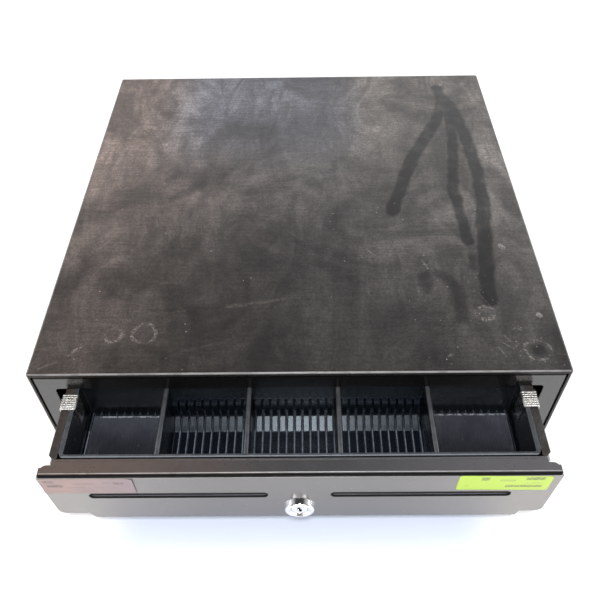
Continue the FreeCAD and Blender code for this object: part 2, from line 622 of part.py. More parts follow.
def lock_cam():
    """Arm on the plug's end, level when unlocked, turning down a quarter turn to lock."""
    hub = rod_y(0, LOCK_Z, 6.0, CAM_Y, CAM_Y + CAM_T)
    arm = box(0, CAM_REACH, CAM_Y, CAM_Y + CAM_T, LOCK_Z - 5.0, LOCK_Z + 5.0)
    arm = soften(arm, 3.0, lambda c, e: along(e, 1) and near(c.x, CAM_REACH))
    return join(hub, arm).cut(rod_y(0, LOCK_Z, M3, CAM_Y - 1, CAM_Y + 3))


# ================================================================ latch bay
def latch_bracket():
    """Upright behind the drawer that carries the latch's pivot and the solenoid."""
    plate = box(-28, 28, BRACKET_Y, BRACKET_Y + SHEET, FLOOR_Z, 95)
    foot = box(-28, 28, 396, BRACKET_Y, FLOOR_Z, FLOOR_Z + SHEET)
    ear = box(5.0, 6.2, 397, BRACKET_Y, 45, 59)
    holes = [rod_z(x, y, M3, FLOOR_Z - 1, FLOOR_Z + 3) for x, y in LATCH_SCREWS]
    holes += [rod_y(x, SOLENOID_SCREW_Z, M3, BRACKET_Y - 1, BRACKET_Y + 3) for x in SOLENOID_SCREWS]
    pivot = rod_x(PIVOT_Y, PIVOT_Z, PIVOT_R, -8, 8)
    return carve(join(plate, foot, ear, mirrored(ear)), pivot, *holes)


SOLENOID_SCREWS = [-9.0, 9.0]
SOLENOID_SCREW_Z = 93.1
FRAME_LOW = 64.0
FRAME_HIGH = 89.0


def solenoid_frame():
    lower = box(-14, 14, 378.5, BRACKET_Y, FRAME_LOW, FRAME_LOW + 1.5)
    upper = box(-14, 14, 378.5, BRACKET_Y, FRAME_HIGH, FRAME_HIGH + 1.5)
    back = box(-14, 14, BRACKET_Y - 1.5, BRACKET_Y, FRAME_LOW, 95)
    holes = [rod_z(0, PLUNGER_Y, PLUNGER_R + 0.2, FRAME_LOW - 1, FRAME_LOW + 3)]
    holes += [rod_y(x, SOLENOID_SCREW_Z, M3, BRACKET_Y - 3, BRACKET_Y + 1) for x in SOLENOID_SCREWS]
    return carve(join(lower, upper, back), *holes)


def solenoid_coil():
    low = FRAME_LOW + 1.5
    winding = rod_z(0, PLUNGER_Y, COIL_R - 1.2, low, FRAME_HIGH)
    flange_low = rod_z(0, PLUNGER_Y, COIL_R, low, low + 1.6)
    flange_high = rod_z(0, PLUNGER_Y, COIL_R, FRAME_HIGH - 1.6, FRAME_HIGH)
    bore = rod_z(0, PLUNGER_Y, PLUNGER_R + 0.2, low - 1, FRAME_HIGH + 1)
    return carve(join(winding, flange_low, flange_high), bore)


def solenoid_plunger():
    """Steel core whose forked lower end straddles the latch."""
    core = rod_z(0, PLUNGER_Y, PLUNGER_R, 49.8, 84.0)
    fork = box(-3.3, 3.3, PLUNGER_Y - 6, PLUNGER_Y + 6, 48, 59.6)
    eye = join(rod_x(PLUNGER_Y - 0.3, LINK_Z, LINK_R + 0.15, -6, 6),
               rod_x(PLUNGER_Y + 1.4, LINK_Z, LINK_R + 0.15, -6, 6),
               box(-6, 6, PLUNGER_Y - 0.3, PLUNGER_Y + 1.4,
                   LINK_Z - LINK_R - 0.15, LINK_Z + LINK_R + 0.15))
    return carve(core, fork, eye)


def latch_lever():
    """Hooked arm on the pivot. Its nose stands in front of the striker's pin."""
    arm = outline([(379.5, 54), (382, 57), (403, 57), (403, 49.4), (384.6, 49.4),
                   (384.6, 43), (381.5, 43), (379.5, 46)], "yz", -3.0, 3.0)
    hub = rod_x(PIVOT_Y, PIVOT_Z, 5.0, -3.0, 3.0)
    bore = rod_x(PIVOT_Y, PIVOT_Z, PIVOT_R + FIT, -5, 5)
    link = rod_x(PLUNGER_Y, LINK_Z, LINK_R, -5, 5)
    return carve(join(arm, hub), bore, link)


def latch_spring():
    """Torsion spring: a few turns of wire on the pivot, either side of the latch."""
    turns = []
    for side in (-1, 1):
        start = (3.45 if side > 0 else -4.55, PIVOT_Y, PIVOT_Z)
        turns.append(coil(3.1, 0.3, 0.65, 1.7, start, (1, 0, 0)))
    return Part.makeCompound(turns)


SWITCH_PIVOT_X = -73.0
SWITCH_PIVOT_Y = 375.0


def switch_bracket():
    foot = box(-76, -48, 380, 392.6, FLOOR_Z, FLOOR_Z + SHEET)
    leg = box(-76, -48, 392.6, 392.6 + SHEET, FLOOR_Z, 42.8)
    seat = box(-76, -48, 378, 392.6 + SHEET, 42.8, 44.0)
    holes = [rod_z(x, y, M3, FLOOR_Z - 1, FLOOR_Z + 3) for x, y in SWITCH_SCREWS]
    return carve(join(foot, leg, seat), *holes)


def switch_body():
    body = box(-76, -48, 377.4, 392.4, 44.0, 54.0)
    notch = box(-76.5, -70.5, 376, 379.0, 45.0, 53.0)
    return body.cut(notch)


def switch_lever():
    """Sprung leaf in front of the switch, with a curled tip that the drawer presses."""
    hub = rod_z(SWITCH_PIVOT_X, SWITCH_PIVOT_Y + 1.2, 1.2, 46.0, 52.0)
    leaf = box(SWITCH_PIVOT_X, -50.5, SWITCH_PIVOT_Y - 0.2, SWITCH_PIVOT_Y + 0.3, 46.5, 51.5)
    tip = rod_z(-50.5, SWITCH_PIVOT_Y - 0.9, 1.4, 46.5, 51.5)
    return join(hub, leaf, tip)


EJECTOR_X = 110.0
EJECTOR_Z = 45.0


def ejector_bracket():
    upright = box(EJECTOR_X - 14, EJECTOR_X + 14, 412.0, 413.2, FLOOR_Z, 56.0)
    foot = box(EJECTOR_X - 14, EJECTOR_X + 14, 398.0, 412.0, FLOOR_Z, FLOOR_Z + SHEET)
    holes = [rod_z(x, y, M3, FLOOR_Z - 1, FLOOR_Z + 3) for x, y in EJECTOR_SCREWS]
    hole = rod_y(EJECTOR_X, EJECTOR_Z, 2.0, 411, 414)
    return carve(join(upright, foot), hole, *holes)


def ejector_pin():
    """Guide pin for the spring, riveted into its bracket."""
    shaft = rod_y(EJECTOR_X, EJECTOR_Z, 3.0, 377.0, 412.0)
    shaft = soften(shaft, 1.2, lambda c, e: near(c.y, 377.0))
    return join(shaft, rod_y(EJECTOR_X, EJECTOR_Z, 2.0, 412.0, 413.2))


def ejector_spring():
    return coil(4.6, 0.55, 5.0, 11.0, (EJECTOR_X, 355.5, EJECTOR_Z), (0, 1, 0))


# ================================================================ till
BAY_EDGES = [-TILL_INNER_HALF] + list(DIVIDER_X) + [TILL_INNER_HALF]
BAY_CENTRES = [(left + right) / 2 for left, right in zip(BAY_EDGES, BAY_EDGES[1:])]
CLIP_PIVOT_Y = 183.0
CLIP_PIVOT_Z = 63.0
CLIP_SHAFT_R = 1.5
FLOOR_RELIEF = 0.8


def till_tray():
    """One moulding: a shallow tray with four long dividers and two cross walls."""
    wall_in = TILL_FRONT_INNER
    tray = box(-TILL_HALF, TILL_HALF, TILL_FRONT, TILL_BACK, TILL_UNDER, TILL_TOP)
    tray = soften(tray, 3.0, lambda c, e: along(e, 2))
    hollow = box(-TILL_INNER_HALF, TILL_INNER_HALF, wall_in, TILL_BACK - 2.4, TILL_FLOOR, TILL_TOP + 1)
    hollow = soften(hollow, 2.0, lambda c, e: along(e, 2))
    bead = box(TILL_HALF, TILL_RIM_HALF, TILL_FRONT + 3.5, TILL_BACK - 3.5, TILL_TOP - 2.0, TILL_TOP)
    pieces = [tray.cut(hollow), bead, mirrored(bead)]
    for x in DIVIDER_X:
        half = DIVIDER_T / 2
        pieces.append(box(x - half, x + half, wall_in, TILL_BACK - 2.4, TILL_FLOOR, TILL_TOP - BEAD_R))
        pieces.append(rod_y(x, TILL_TOP - BEAD_R, BEAD_R, wall_in, TILL_BACK - 2.4))
    for y in (COIN_WALL_Y, NOTE_WALL_Y):
        top = TILL_TOP - 0.4
        bevel = 0.9
        section = [(y, TILL_FLOOR), (y + WALL_T, TILL_FLOOR), (y + WALL_T, top - bevel),
                   (y + WALL_T - bevel, top), (y + bevel, top), (y, top - bevel)]
        pieces.append(outline(section, "yz", -TILL_INNER_HALF, TILL_INNER_HALF))
    return join(*pieces)


def bay_limits(index, clearance):
    """Left and right limits of the floor of a till bay."""
    half = DIVIDER_T / 2
    left = BAY_EDGES[index] + (half if index > 0 else 0.0) + clearance
    right = BAY_EDGES[index + 1] - (half if index < 4 else 0.0) - clearance
    return left, right


MAT_FRONT = TILL_FRONT_INNER + 2.2
MAT_PITCH = 6.3                   # spacing of the liners' fins
MAT_FINS = 11
FIN_TOP = TILL_FLOOR + 3.6
RAMP_FRONT = COIN_WALL_Y - 17.2   # the bars at the back of a middle cup climb from here
RAMP_TOP = TILL_FLOOR + 6.0
COMB_Y = COIN_WALL_Y - 6.3        # front of the upright comb behind them
COMB_TOP = TILL_FLOOR + 24.0
PLATE_MARGINS = {0: (3.0, 3.0), 4: (6.0, 3.0)}


def coin_mat(index):
    """Ribbed liner of a coin cup: thin fins, and in the middle cups bars that climb to the back."""
    left, right = bay_limits(index, 0.3)
    back = COIN_WALL_Y - 0.3 if index in PLATE_MARGINS else COMB_Y
    middle = (left + right) / 2
    pieces = [box(left, right, MAT_FRONT, back, TILL_FLOOR, TILL_FLOOR + FLOOR_RELIEF)]
    for i in range(MAT_FINS):
        x = middle + MAT_PITCH * (i - (MAT_FINS - 1) / 2)
        if left + 0.5 < x < right - 0.5:
            pieces.append(box(x - 0.45, x + 0.45, MAT_FRONT, back, TILL_FLOOR, FIN_TOP))
    if index not in PLATE_MARGINS:
        ramp = [(RAMP_FRONT, TILL_FLOOR), (RAMP_FRONT, TILL_FLOOR + 1.2), (back, RAMP_TOP), (back, TILL_FLOOR)]
        pieces += [outline(ramp, "yz", x0, x1) for x0, x1 in bar_spans(left, right)]
    return join(*pieces)


def bar_spans(left, right):
    """Left and right sides of the bars that stand between the fins."""
    middle = (left + right) / 2
    spans = []
    for i in range(MAT_FINS - 1):
        x = middle + MAT_PITCH * (i - (MAT_FINS - 2) / 2)
        if min(right, x + 2.0) - max(left, x - 2.0) > 1.0:
            spans.append((max(left, x - 2.0), min(right, x + 2.0)))
    return spans


def cup_comb(index):
    """Upright comb that stands on the floor behind a middle cup's liner, against the wall."""
    left, right = bay_limits(index, 0.3)
    wall = COIN_WALL_Y - 0.1
    pieces = [box(left, right, wall - 1.2, wall, TILL_FLOOR, COMB_TOP)]
    tooth = [(COMB_Y, TILL_FLOOR), (COMB_Y, COMB_TOP - 1.5), (COMB_Y + 1.5, COMB_TOP),
             (wall - 0.6, COMB_TOP), (wall - 0.6, TILL_FLOOR)]
    pieces += [outline(tooth, "yz", x0, x1) for x0, x1 in bar_spans(left, right)]
    return join(*pieces)


def floor_plate(index):
    """Loose flat plate that lies on the fins of an outer coin cup."""
    left_margin, right_margin = PLATE_MARGINS[index]
    left, _ = bay_limits(index, left_margin)
    _, right = bay_limits(index, right_margin)
    plate = box(left, right, MAT_FRONT + 1.8, COIN_WALL_Y - 4.5, FIN_TOP, FIN_TOP + 1.2)
    return soften(plate, 1.5, lambda c, e: along(e, 2))


def till_clip():
    """Ribbed spring clip over the drawer's flange and the till's rim."""
    front, back = -18.0, -4.0
    inner, outer = 168.1, 179.9
    top = box(inner, outer, front, back, TILL_TOP + FIT, TILL_TOP + 0.65)
    inner_leg = box(inner, inner + 1.0, front + 1.0, back - 1.0, 60.0, TILL_TOP + 0.65)
    outer_leg = box(outer - 0.8, outer, front, back, 74.0, TILL_TOP + FIT)
    ribs = [rod_x(front + 1.0 + 2.0 * i, TILL_TOP + 0.6, 0.5, inner + 1.0, outer) for i in range(7)]
    return join(top, inner_leg, outer_leg, *ribs)


def clip_bracket(x):
    """Pair of ears behind a note bay that hold the note clip's shaft."""
    back = NOTE_WALL_Y
    plate = box(x - 12.0, x + 12.0, back - 1.2, back, 54.0, 70.0)
    ear = box(x + 9.4, x + 10.6, CLIP_PIVOT_Y - 4.0, back - 1.2, 58.0, 68.0)
    other = box(x - 10.6, x - 9.4, CLIP_PIVOT_Y - 4.0, back - 1.2, 58.0, 68.0)
    shaft = rod_x(CLIP_PIVOT_Y, CLIP_PIVOT_Z, CLIP_SHAFT_R + FIT, x - 14, x + 14)
    return join(plate, ear, other).cut(shaft)


def note_clip(x):
    """Sprung arm that holds notes down, with its shaft moulded on."""
    points = [(CLIP_PIVOT_Y + 1.0, CLIP_PIVOT_Z + 3.0), (CLIP_PIVOT_Y - 6.0, CLIP_PIVOT_Z + 2.6),
              (124.0, 40.6), (117.0, 43.6), (115.6, 42.0), (123.4, 37.6),
              (CLIP_PIVOT_Y - 4.0, CLIP_PIVOT_Z - 3.2), (CLIP_PIVOT_Y + 1.0, CLIP_PIVOT_Z - 3.0)]
    arm = outline(points, "yz", x - 7.0, x + 7.0)
    hub = rod_x(CLIP_PIVOT_Y, CLIP_PIVOT_Z, 3.2, x - 7.0, x + 7.0)
    shaft = rod_x(CLIP_PIVOT_Y, CLIP_PIVOT_Z, CLIP_SHAFT_R, x - 12.0, x + 12.0)
    return join(arm, hub, shaft)


# ================================================================ write the nodes
def write_casing():
    save("top_cover", top_cover())
    save("base_chassis", base_chassis())
    save("front_frame", front_frame())
    save("rear_panel", rear_panel())
    save("rubber_feet", *[rubber_foot(x, y) for x, y in FEET])
    save("foot_screws", *[foot_screw(x, y) for x, y in FEET])
    save("foot_nuts", *[foot_nut(x, y) for x, y in FEET])
    screws = [screw((x, CASE_D, z), (0, -1, 0), 9.0) for x, z in REAR_SCREWS]
    for y, z in SIDE_SCREWS:
        screws.append(screw((-HALF_W, y, z), (1, 0, 0), 5.0, M3, M3_HEAD_R, 1.4))
        screws.append(screw((HALF_W, y, z), (-1, 0, 0), 5.0, M3, M3_HEAD_R, 1.4))
    save("cover_screws", *screws)
    save("floor_screws", *[screw((x, y, FOOT_H), (0, 0, 1), 4.0) for x, y in FLOOR_SCREWS])
    save("lock_keeper", lock_keeper())
    save("connector_socket", connector_socket())
    save("socket_contacts", *[socket_contact(i) for i in range(6)])


def save_pair(node, right):
    """A right-hand piece and its mirror image on the same body, in one node."""
    save(node, right, mirrored(right))


def write_slides():
    save_pair("rail_brackets", rail_bracket())
    save_pair("outer_rails", outer_rail())
    save_pair("inner_rails", inner_rail())
    moving = {"ball_cage": ball_cage(), "bearing_balls": bearing_balls()}
    for name, shape in moving.items():
        save(name + "_right", shape)
        save(name + "_left", mirrored(shape))
    screws = [rail_screw(y) for y in SLIDE_SCREWS]
    rivets = [rail_rivet(y) for y in RIVETS]
    save("rail_screws", *screws, *[mirrored(s) for s in screws])
    save("rail_rivets", *rivets, *[mirrored(s) for s in rivets])


def write_drawer():
    save("drawer_pan", drawer_pan())
    save("drawer_front_panel", drawer_front_panel())
    save("drawer_ledge", drawer_ledge())
    save_pair("media_chutes", media_chute())
    save_pair("till_shelves", till_shelf())
    save("striker", striker())
    screws = [screw((x, PAN_FRONT + SHEET, z), (0, -1, 0), 4.5) for x, z in FRONT_SCREWS]
    screws += [screw((x, PAN_BACK + 1.5, z), (0, -1, 0), 4.5) for x, z in STRIKER_SCREWS]
    save("drawer_screws", *screws)
    save("label_left", paper_label(-183.6, -117.0, 56.0, 77.4, 0.6, 0.0))
    save("label_right", paper_label(112.0, 178.0, 57.2, 78.0, 2.0, 1.2))


def write_lock():
    save("lock_barrel", lock_barrel())
    save("lock_nut", lock_nut())
    save("lock_plug", lock_plug())
    save("lock_cam", lock_cam())
    save("cam_screw", screw((0, CAM_Y + CAM_T, LOCK_Z), (0, -1, 0), 8.0, M3, M3_HEAD_R, 0.9))


def write_latch_bay():
    save("latch_bracket", latch_bracket())
    save("latch_pivot_pin", rod_x(PIVOT_Y, PIVOT_Z, PIVOT_R, -7.4, 7.4))
    save("latch_lever", latch_lever())
    save("latch_link_pin", rod_x(PLUNGER_Y, LINK_Z, LINK_R, -5.4, 5.4))
    save("latch_spring", latch_spring())
    save("solenoid_frame", solenoid_frame())
    save("solenoid_coil", solenoid_coil())
    save("solenoid_plunger", solenoid_plunger())
    front = BRACKET_Y - 1.5
    screws = [screw((x, front, SOLENOID_SCREW_Z), (0, 1, 0), 3.6, M3, 2.4, 1.4) for x in SOLENOID_SCREWS]
    save("solenoid_screws", *screws)
    save("switch_bracket", switch_bracket())
    save("switch_body", switch_body())
    save("switch_lever", switch_lever())
    save("ejector_bracket", ejector_bracket())
    save("ejector_pin", ejector_pin())
    save("ejector_spring", ejector_spring())


def write_till():
    save("till_tray", till_tray())
    save("coin_mats", *[coin_mat(i) for i in range(5)], *[cup_comb(i) for i in (1, 2, 3)])
    save("floor_plates", floor_plate(0), floor_plate(4))
    save_pair("till_clips", till_clip())
    save("note_clip_brackets", *[clip_bracket(x) for x in BAY_CENTRES])
    for number, x in enumerate(BAY_CENTRES, 1):
        save("note_clip_" + str(number), note_clip(x))


os.makedirs("parts", exist_ok=True)
write_casing()
write_slides()
write_drawer()
write_lock()
write_latch_bay()
write_till()
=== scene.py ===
import json
import math

import bmesh
import bpy
from mathutils import Matrix, Vector


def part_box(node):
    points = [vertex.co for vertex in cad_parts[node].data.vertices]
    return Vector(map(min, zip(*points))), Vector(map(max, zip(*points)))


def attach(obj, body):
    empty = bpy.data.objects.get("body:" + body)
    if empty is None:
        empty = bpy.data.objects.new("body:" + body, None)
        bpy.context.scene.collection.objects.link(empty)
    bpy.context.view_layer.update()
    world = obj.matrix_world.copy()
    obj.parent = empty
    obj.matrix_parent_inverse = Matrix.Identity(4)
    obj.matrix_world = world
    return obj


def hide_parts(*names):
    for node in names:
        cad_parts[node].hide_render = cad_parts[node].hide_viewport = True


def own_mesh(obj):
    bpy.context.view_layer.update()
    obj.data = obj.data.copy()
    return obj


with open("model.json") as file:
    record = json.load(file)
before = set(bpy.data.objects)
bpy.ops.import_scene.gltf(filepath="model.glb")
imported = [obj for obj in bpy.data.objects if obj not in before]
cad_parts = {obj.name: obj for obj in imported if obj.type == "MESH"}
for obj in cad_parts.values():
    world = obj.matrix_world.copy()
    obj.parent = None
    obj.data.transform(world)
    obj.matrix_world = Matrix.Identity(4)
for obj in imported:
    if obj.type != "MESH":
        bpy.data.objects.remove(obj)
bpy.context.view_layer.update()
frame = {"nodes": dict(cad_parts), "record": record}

# The looks of a cash drawer: painted steel casing and drawer front, a moulded till with
# ribbed cups, a chrome lock and two stuck labels, on a plain pale floor in soft light.
#
# Metres. +X is to the right, +Y to the back, +Z up. Places come from the CAD nodes' boxes.
MM = 0.001
cover_low, cover_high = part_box("top_cover")
panel_low, panel_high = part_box("drawer_front_panel")


# ================================================================ material helpers
class Surface:
    """A node material, built up step by step in the object's own metres."""

    def __init__(self, name):
        self.material = bpy.data.materials.new(name)
        self.material.use_nodes = True
        self.nodes = self.material.node_tree.nodes
        self.links = self.material.node_tree.links
        self.shader = self.nodes["Principled BSDF"]
        self.place = self.nodes.new("ShaderNodeTexCoord").outputs["Object"]

    def plug(self, socket, value):
        """Link a socket, or set a plain value."""
        if isinstance(value, bpy.types.NodeSocket):
            self.links.new(value, socket)
        elif value is not None:
            socket.default_value = value

    def shade(self, **inputs):
        """Inputs of the Principled shader, with underscores for spaces in their names."""
        for name, value in inputs.items():
            if isinstance(value, tuple) and len(value) == 3:
                value = (*value, 1.0)
            self.plug(self.shader.inputs[name.replace("_", " ")], value)

    def math(self, kind, a, b=0.0, clamp=False):
        """One sum on numbers, such as ADD or MULTIPLY."""
        node = self.nodes.new("ShaderNodeMath")
        node.operation = kind
        node.use_clamp = clamp
        self.plug(node.inputs[0], a)
        self.plug(node.inputs[1], b)
        return node.outputs[0]

    def vector(self, kind, a, b=None, scale=None):
        """One sum on vectors."""
        node = self.nodes.new("ShaderNodeVectorMath")
        node.operation = kind
        self.plug(node.inputs[0], a)
        self.plug(node.inputs[1], b)
        if scale is not None:
            self.plug(node.inputs["Scale"], scale)
        return node.outputs["Value" if kind in ("DOT_PRODUCT", "LENGTH") else "Vector"]

    def axes(self, vector):
        """The parts of a vector along X, Y and Z."""
        node = self.nodes.new("ShaderNodeSeparateXYZ")
        self.plug(node.inputs[0], vector)
        return node.outputs

    def facing(self):
        """The parts of the surface's direction along X, Y and Z."""
        return self.axes(self.nodes.new("ShaderNodeNewGeometry").outputs["Normal"])

    def step(self, value, start, end, low=0.0, high=1.0):
        """A smooth rise from low to high as the value goes from start to end."""
        node = self.nodes.new("ShaderNodeMapRange")
        node.interpolation_type = "SMOOTHSTEP"
        for socket, number in zip(node.inputs[:5], (value, start, end, low, high)):
            self.plug(socket, number)
        return node.outputs[0]

    def mix(self, factor, a, b):
        """The colour a, going to the colour b as the factor goes from 0 to 1."""
        node = self.nodes.new("ShaderNodeMix")
        node.data_type = "RGBA"
        self.plug(node.inputs[0], factor)
        for socket, colour in ((node.inputs[6], a), (node.inputs[7], b)):
            self.plug(socket, (*colour, 1.0) if isinstance(colour, tuple) else colour)
        return node.outputs[2]

    def stretched(self, x, y, z):
        """The place, scaled along each axis."""
        return self.vector("MULTIPLY", self.place, (x, y, z))

    def noise(self, size, detail=2.0, rough=0.5, place=None, twist=0.0):
        """Noise with features about size metres across."""
        node = self.nodes.new("ShaderNodeTexNoise")
        self.plug(node.inputs["Vector"], place or self.place)
        self.plug(node.inputs["Scale"], 1.0 / size)
        self.plug(node.inputs["Detail"], detail)
        self.plug(node.inputs["Roughness"], rough)
        self.plug(node.inputs["Distortion"], twist)
        return node.outputs[0]

    def cells(self, size, feature="F1"):
        """A pattern of cells about size metres across."""
        node = self.nodes.new("ShaderNodeTexVoronoi")
        node.feature = feature
        self.plug(node.inputs["Vector"], self.place)
        self.plug(node.inputs["Scale"], 1.0 / size)
        return node

    def bump(self, height, depth, under=None):
        """A bump whose height goes from 0 to depth metres."""
        node = self.nodes.new("ShaderNodeBump")
        self.plug(node.inputs["Height"], height)
        self.plug(node.inputs["Distance"], depth)
        self.plug(node.inputs["Strength"], 1.0)
        self.plug(node.inputs["Normal"], under)
        return node.outputs[0]

    def soft_normal(self, radius):
        """The surface's normal with its edges rounded a little."""
        node = self.nodes.new("ShaderNodeBevel")
        node.samples = 4
        self.plug(node.inputs["Radius"], radius)
        return node.outputs[0]

    def edge(self, radius):
        """1 on an outer or inner edge, 0 on a flat."""
        soft = self.soft_normal(radius)
        flat = self.nodes.new("ShaderNodeNewGeometry").outputs["True Normal"]
        same = self.vector("DOT_PRODUCT", soft, flat)
        return self.step(self.math("SUBTRACT", 1.0, same), 0.02, 0.25)


NEXT_TO_NOTHING = 1e-9


def stroke_group():
    """A node group for one soft-ended bar, which gives the greater of it and the marks before.

    The point is nudged by next to nothing times the marks before, so that a long chain of bars
    is worked out one bar at a time and stays within the renderer's memory for one material.
    """
    group = bpy.data.node_groups.new("stroke", "ShaderNodeTree")
    for name, kind in (("Point", "NodeSocketVector"), ("Start", "NodeSocketVector"),
                       ("Run", "NodeSocketVector"), ("Half Width", "NodeSocketFloat"),
                       ("Fade", "NodeSocketFloat"), ("Strength", "NodeSocketFloat"),
                       ("Before", "NodeSocketFloat")):
        group.interface.new_socket(name, in_out="INPUT", socket_type=kind)
    group.interface.new_socket("Inside", in_out="OUTPUT", socket_type="NodeSocketFloat")
    nodes, links = group.nodes, group.links
    given = nodes.new("NodeGroupInput").outputs

    def vector(kind, a, b):
        node = nodes.new("ShaderNodeVectorMath")
        node.operation = kind
        links.new(a, node.inputs[0])
        if b is not None:
            links.new(b, node.inputs[1])
        return node

    def number(kind, a, b, clamp=False):
        node = nodes.new("ShaderNodeMath")
        node.operation = kind
        node.use_clamp = clamp
        links.new(a, node.inputs[0])
        if isinstance(b, float):
            node.inputs[1].default_value = b
        else:
            links.new(b, node.inputs[1])
        return node.outputs[0]

    nudge = number("MULTIPLY", given["Before"], NEXT_TO_NOTHING)
    point = vector("ADD", given["Point"], nudge).outputs[0]
    away = vector("SUBTRACT", point, given["Start"]).outputs[0]
    forward = vector("DOT_PRODUCT", away, given["Run"]).outputs["Value"]
    length = vector("DOT_PRODUCT", given["Run"], given["Run"]).outputs["Value"]
    share = number("DIVIDE", forward, length, clamp=True)
    reached = vector("SCALE", given["Run"], None)
    links.new(share, reached.inputs["Scale"])
    off = vector("SUBTRACT", away, reached.outputs[0]).outputs[0]
    distance = vector("LENGTH", off, None).outputs["Value"]
    fade = nodes.new("ShaderNodeMapRange")
    fade.interpolation_type = "SMOOTHSTEP"
    links.new(distance, fade.inputs[0])
    links.new(number("ADD", given["Half Width"], given["Fade"]), fade.inputs[1])
    links.new(number("SUBTRACT", given["Half Width"], given["Fade"]), fade.inputs[2])
    mark = number("MULTIPLY", fade.outputs[0], given["Strength"])
    links.new(number("MAXIMUM", mark, given["Before"]), nodes.new("NodeGroupOutput").inputs[0])
    return group


STROKE = stroke_group()


def stroke(surface, before, point, start, end, half_width, fade, strength):
    """The marks before, with one more soft-ended bar from start to end."""
    node = surface.nodes.new("ShaderNodeGroup")
    node.node_tree = STROKE
    surface.plug(node.inputs["Point"], point)
    node.inputs["Start"].default_value = start
    node.inputs["Run"].default_value = end - start
    node.inputs["Half Width"].default_value = half_width
    node.inputs["Fade"].default_value = fade
    node.inputs["Strength"].default_value = strength
    surface.plug(node.inputs["Before"], before)
    return node.outputs[0]


# ================================================================ materials
BLACK = (0.0030, 0.0028, 0.0028)
DUST = (0.285, 0.268, 0.258)
DUST_VIOLET = (0.25, 0.25, 0.285)
DUST_WARM = (0.36, 0.29, 0.265)
DUST_COOL = (0.24, 0.245, 0.26)
# Colours of painted highlights on the edges of paint and of plastic.
PAINT_HIGHLIGHT = (0.35, 0.35, 0.36)
PLASTIC_HIGHLIGHT = (0.34, 0.38, 0.44)
COOL_GLOSS = (0.86, 0.94, 1.0)
PLASTIC_EDGE = 0.0006              # how far the painted highlight reaches in from an edge of the plastic
PLASTIC_ROUND = 0.0004             # how softly the plastic's edges catch the light

# Marks on the cover, in millimetres from the middle of its front edge: points, half width,
# width of the soft edge, and how much of the dust is wiped away.
WIPES = [
    ([(156, 392), (157, 360), (147, 330), (118, 272), (102, 230), (86, 182)], 6.5, 2.0, 0.85),
    ([(162, 372), (160, 305), (152, 250), (147, 210), (149, 141)], 5.2, 2.0, 0.85),
    ([(164, 360), (172, 300), (175, 240), (171, 190), (162, 130), (155, 72)], 6.8, 2.2, 0.85),
    ([(186, 238), (194, 208), (201, 182)], 11.0, 5.0, 0.55),
    ([(149, 122), (149, 108)], 3.6, 2.0, 0.6),
    ([(106, 100), (106, 84)], 5.2, 3.0, 0.6),
    ([(119, 101), (131, 86), (130, 52)], 5.5, 3.0, 0.6),
    ([(52, 143), (49, 124)], 4.6, 3.5, 0.45),
    ([(93, 97), (89, 62)], 5.0, 4.0, 0.3),
    ([(-91, 226), (-120, 202)], 4.2, 3.0, 0.35),
    ([(24, 305), (-4, 280)], 4.4, 4.4, 0.16),
    ([(-100, 140), (-106, 130)], 13.0, 7.0, 0.42),
    ([(-186, 128), (-188, 52)], 7.0, 6.0, 0.24),
    ([(-100, 49), (-101, 42)], 4.0, 3.0, 0.35),
    ([(-142, 216), (-160, 198)], 7.0, 6.0, 0.18),
    ([(10, 160), (34, 118), (20, 90)], 24.0, 20.0, 0.35),
    ([(-60, 330), (-20, 300), (20, 330)], 26.0, 22.0, 0.25),
    ([(-150, 300), (-158, 250)], 16.0, 14.0, 0.25),
    ([(60, 60), (100, 30)], 20.0, 16.0, 0.3),
    ([(182, 20), (182.5, 20)], 5.5, 2.0, 0.7),
]
HAZE = 0.385                       # how much of the dust's own colour shows in an even layer of it
SCRATCH_FADE = 0.7                 # millimetres of soft edge on each side of a scratch
# Grit: where it has gathered, and how far it spreads.
CRUMBS = [((182, 20), 26.0), ((172, 34), 20.0), ((150, 72), 16.0), ((148, 96), 14.0),
          ((106, 118), 12.0), ((176, 134), 9.0), ((190, 200), 14.0), ((180, 262), 16.0),
          ((-172, 22), 12.0)]
# Rings left by cups and stands: middle and radius.
RINGS = [((-145, 38), 7.0), ((-121, 40), 9.5), ((182, 20), 9.5), ((156, 404), 7.0),
         ((-130, 289), 6.0), ((149, 57), 5.0), ((149, 58), 7.5)]
# Scratches and pale spots: points, half width and strength.
SCRATCHES = [
    ([(-58, 66), (-34, 70), (-12, 74)], 1.6, 0.35), ([(-120, 60), (-92, 62)], 1.0, 0.22),
    ([(-90, 22), (-60, 28)], 1.2, 0.2), ([(-130, 96), (-96, 92)], 1.4, 0.16),
    ([(107, 118), (110, 108)], 1.1, 1.0), ([(60, 133), (66, 124)], 0.6, 0.8),
    ([(148, 78), (156, 62)], 0.7, 0.4), ([(160, 34), (164, 29)], 0.8, 0.7),
    ([(158, 28), (161, 24)], 0.7, 0.9), ([(170, 42), (175, 39)], 0.6, 0.9),
    ([(153, 22), (156, 14)], 0.6, 0.6), ([(166, 24), (170, 27)], 0.6, 0.8),
    ([(196, 16), (203, 14)], 0.5, 0.7),
    ([(177, 134), (178, 133)], 2.4, 1.9), ([(192, 55), (192.5, 54.5)], 2.6, 1.9),
    ([(-165, 220), (-165, 219.5)], 1.8, 0.8), ([(-120, 156), (-120, 155)], 1.0, 1.0),
    ([(115, 15), (116, 16)], 1.2, 1.0), ([(-172, 24), (-176, 18)], 1.1, 0.9),
    ([(-196, 6), (-184, 12)], 0.8, 0.7),
]


def on_cover(x, y):
    """A place on the cover, from millimetres to the row frame."""
    return Vector((x * MM, cover_low.y + y * MM, 0.0))


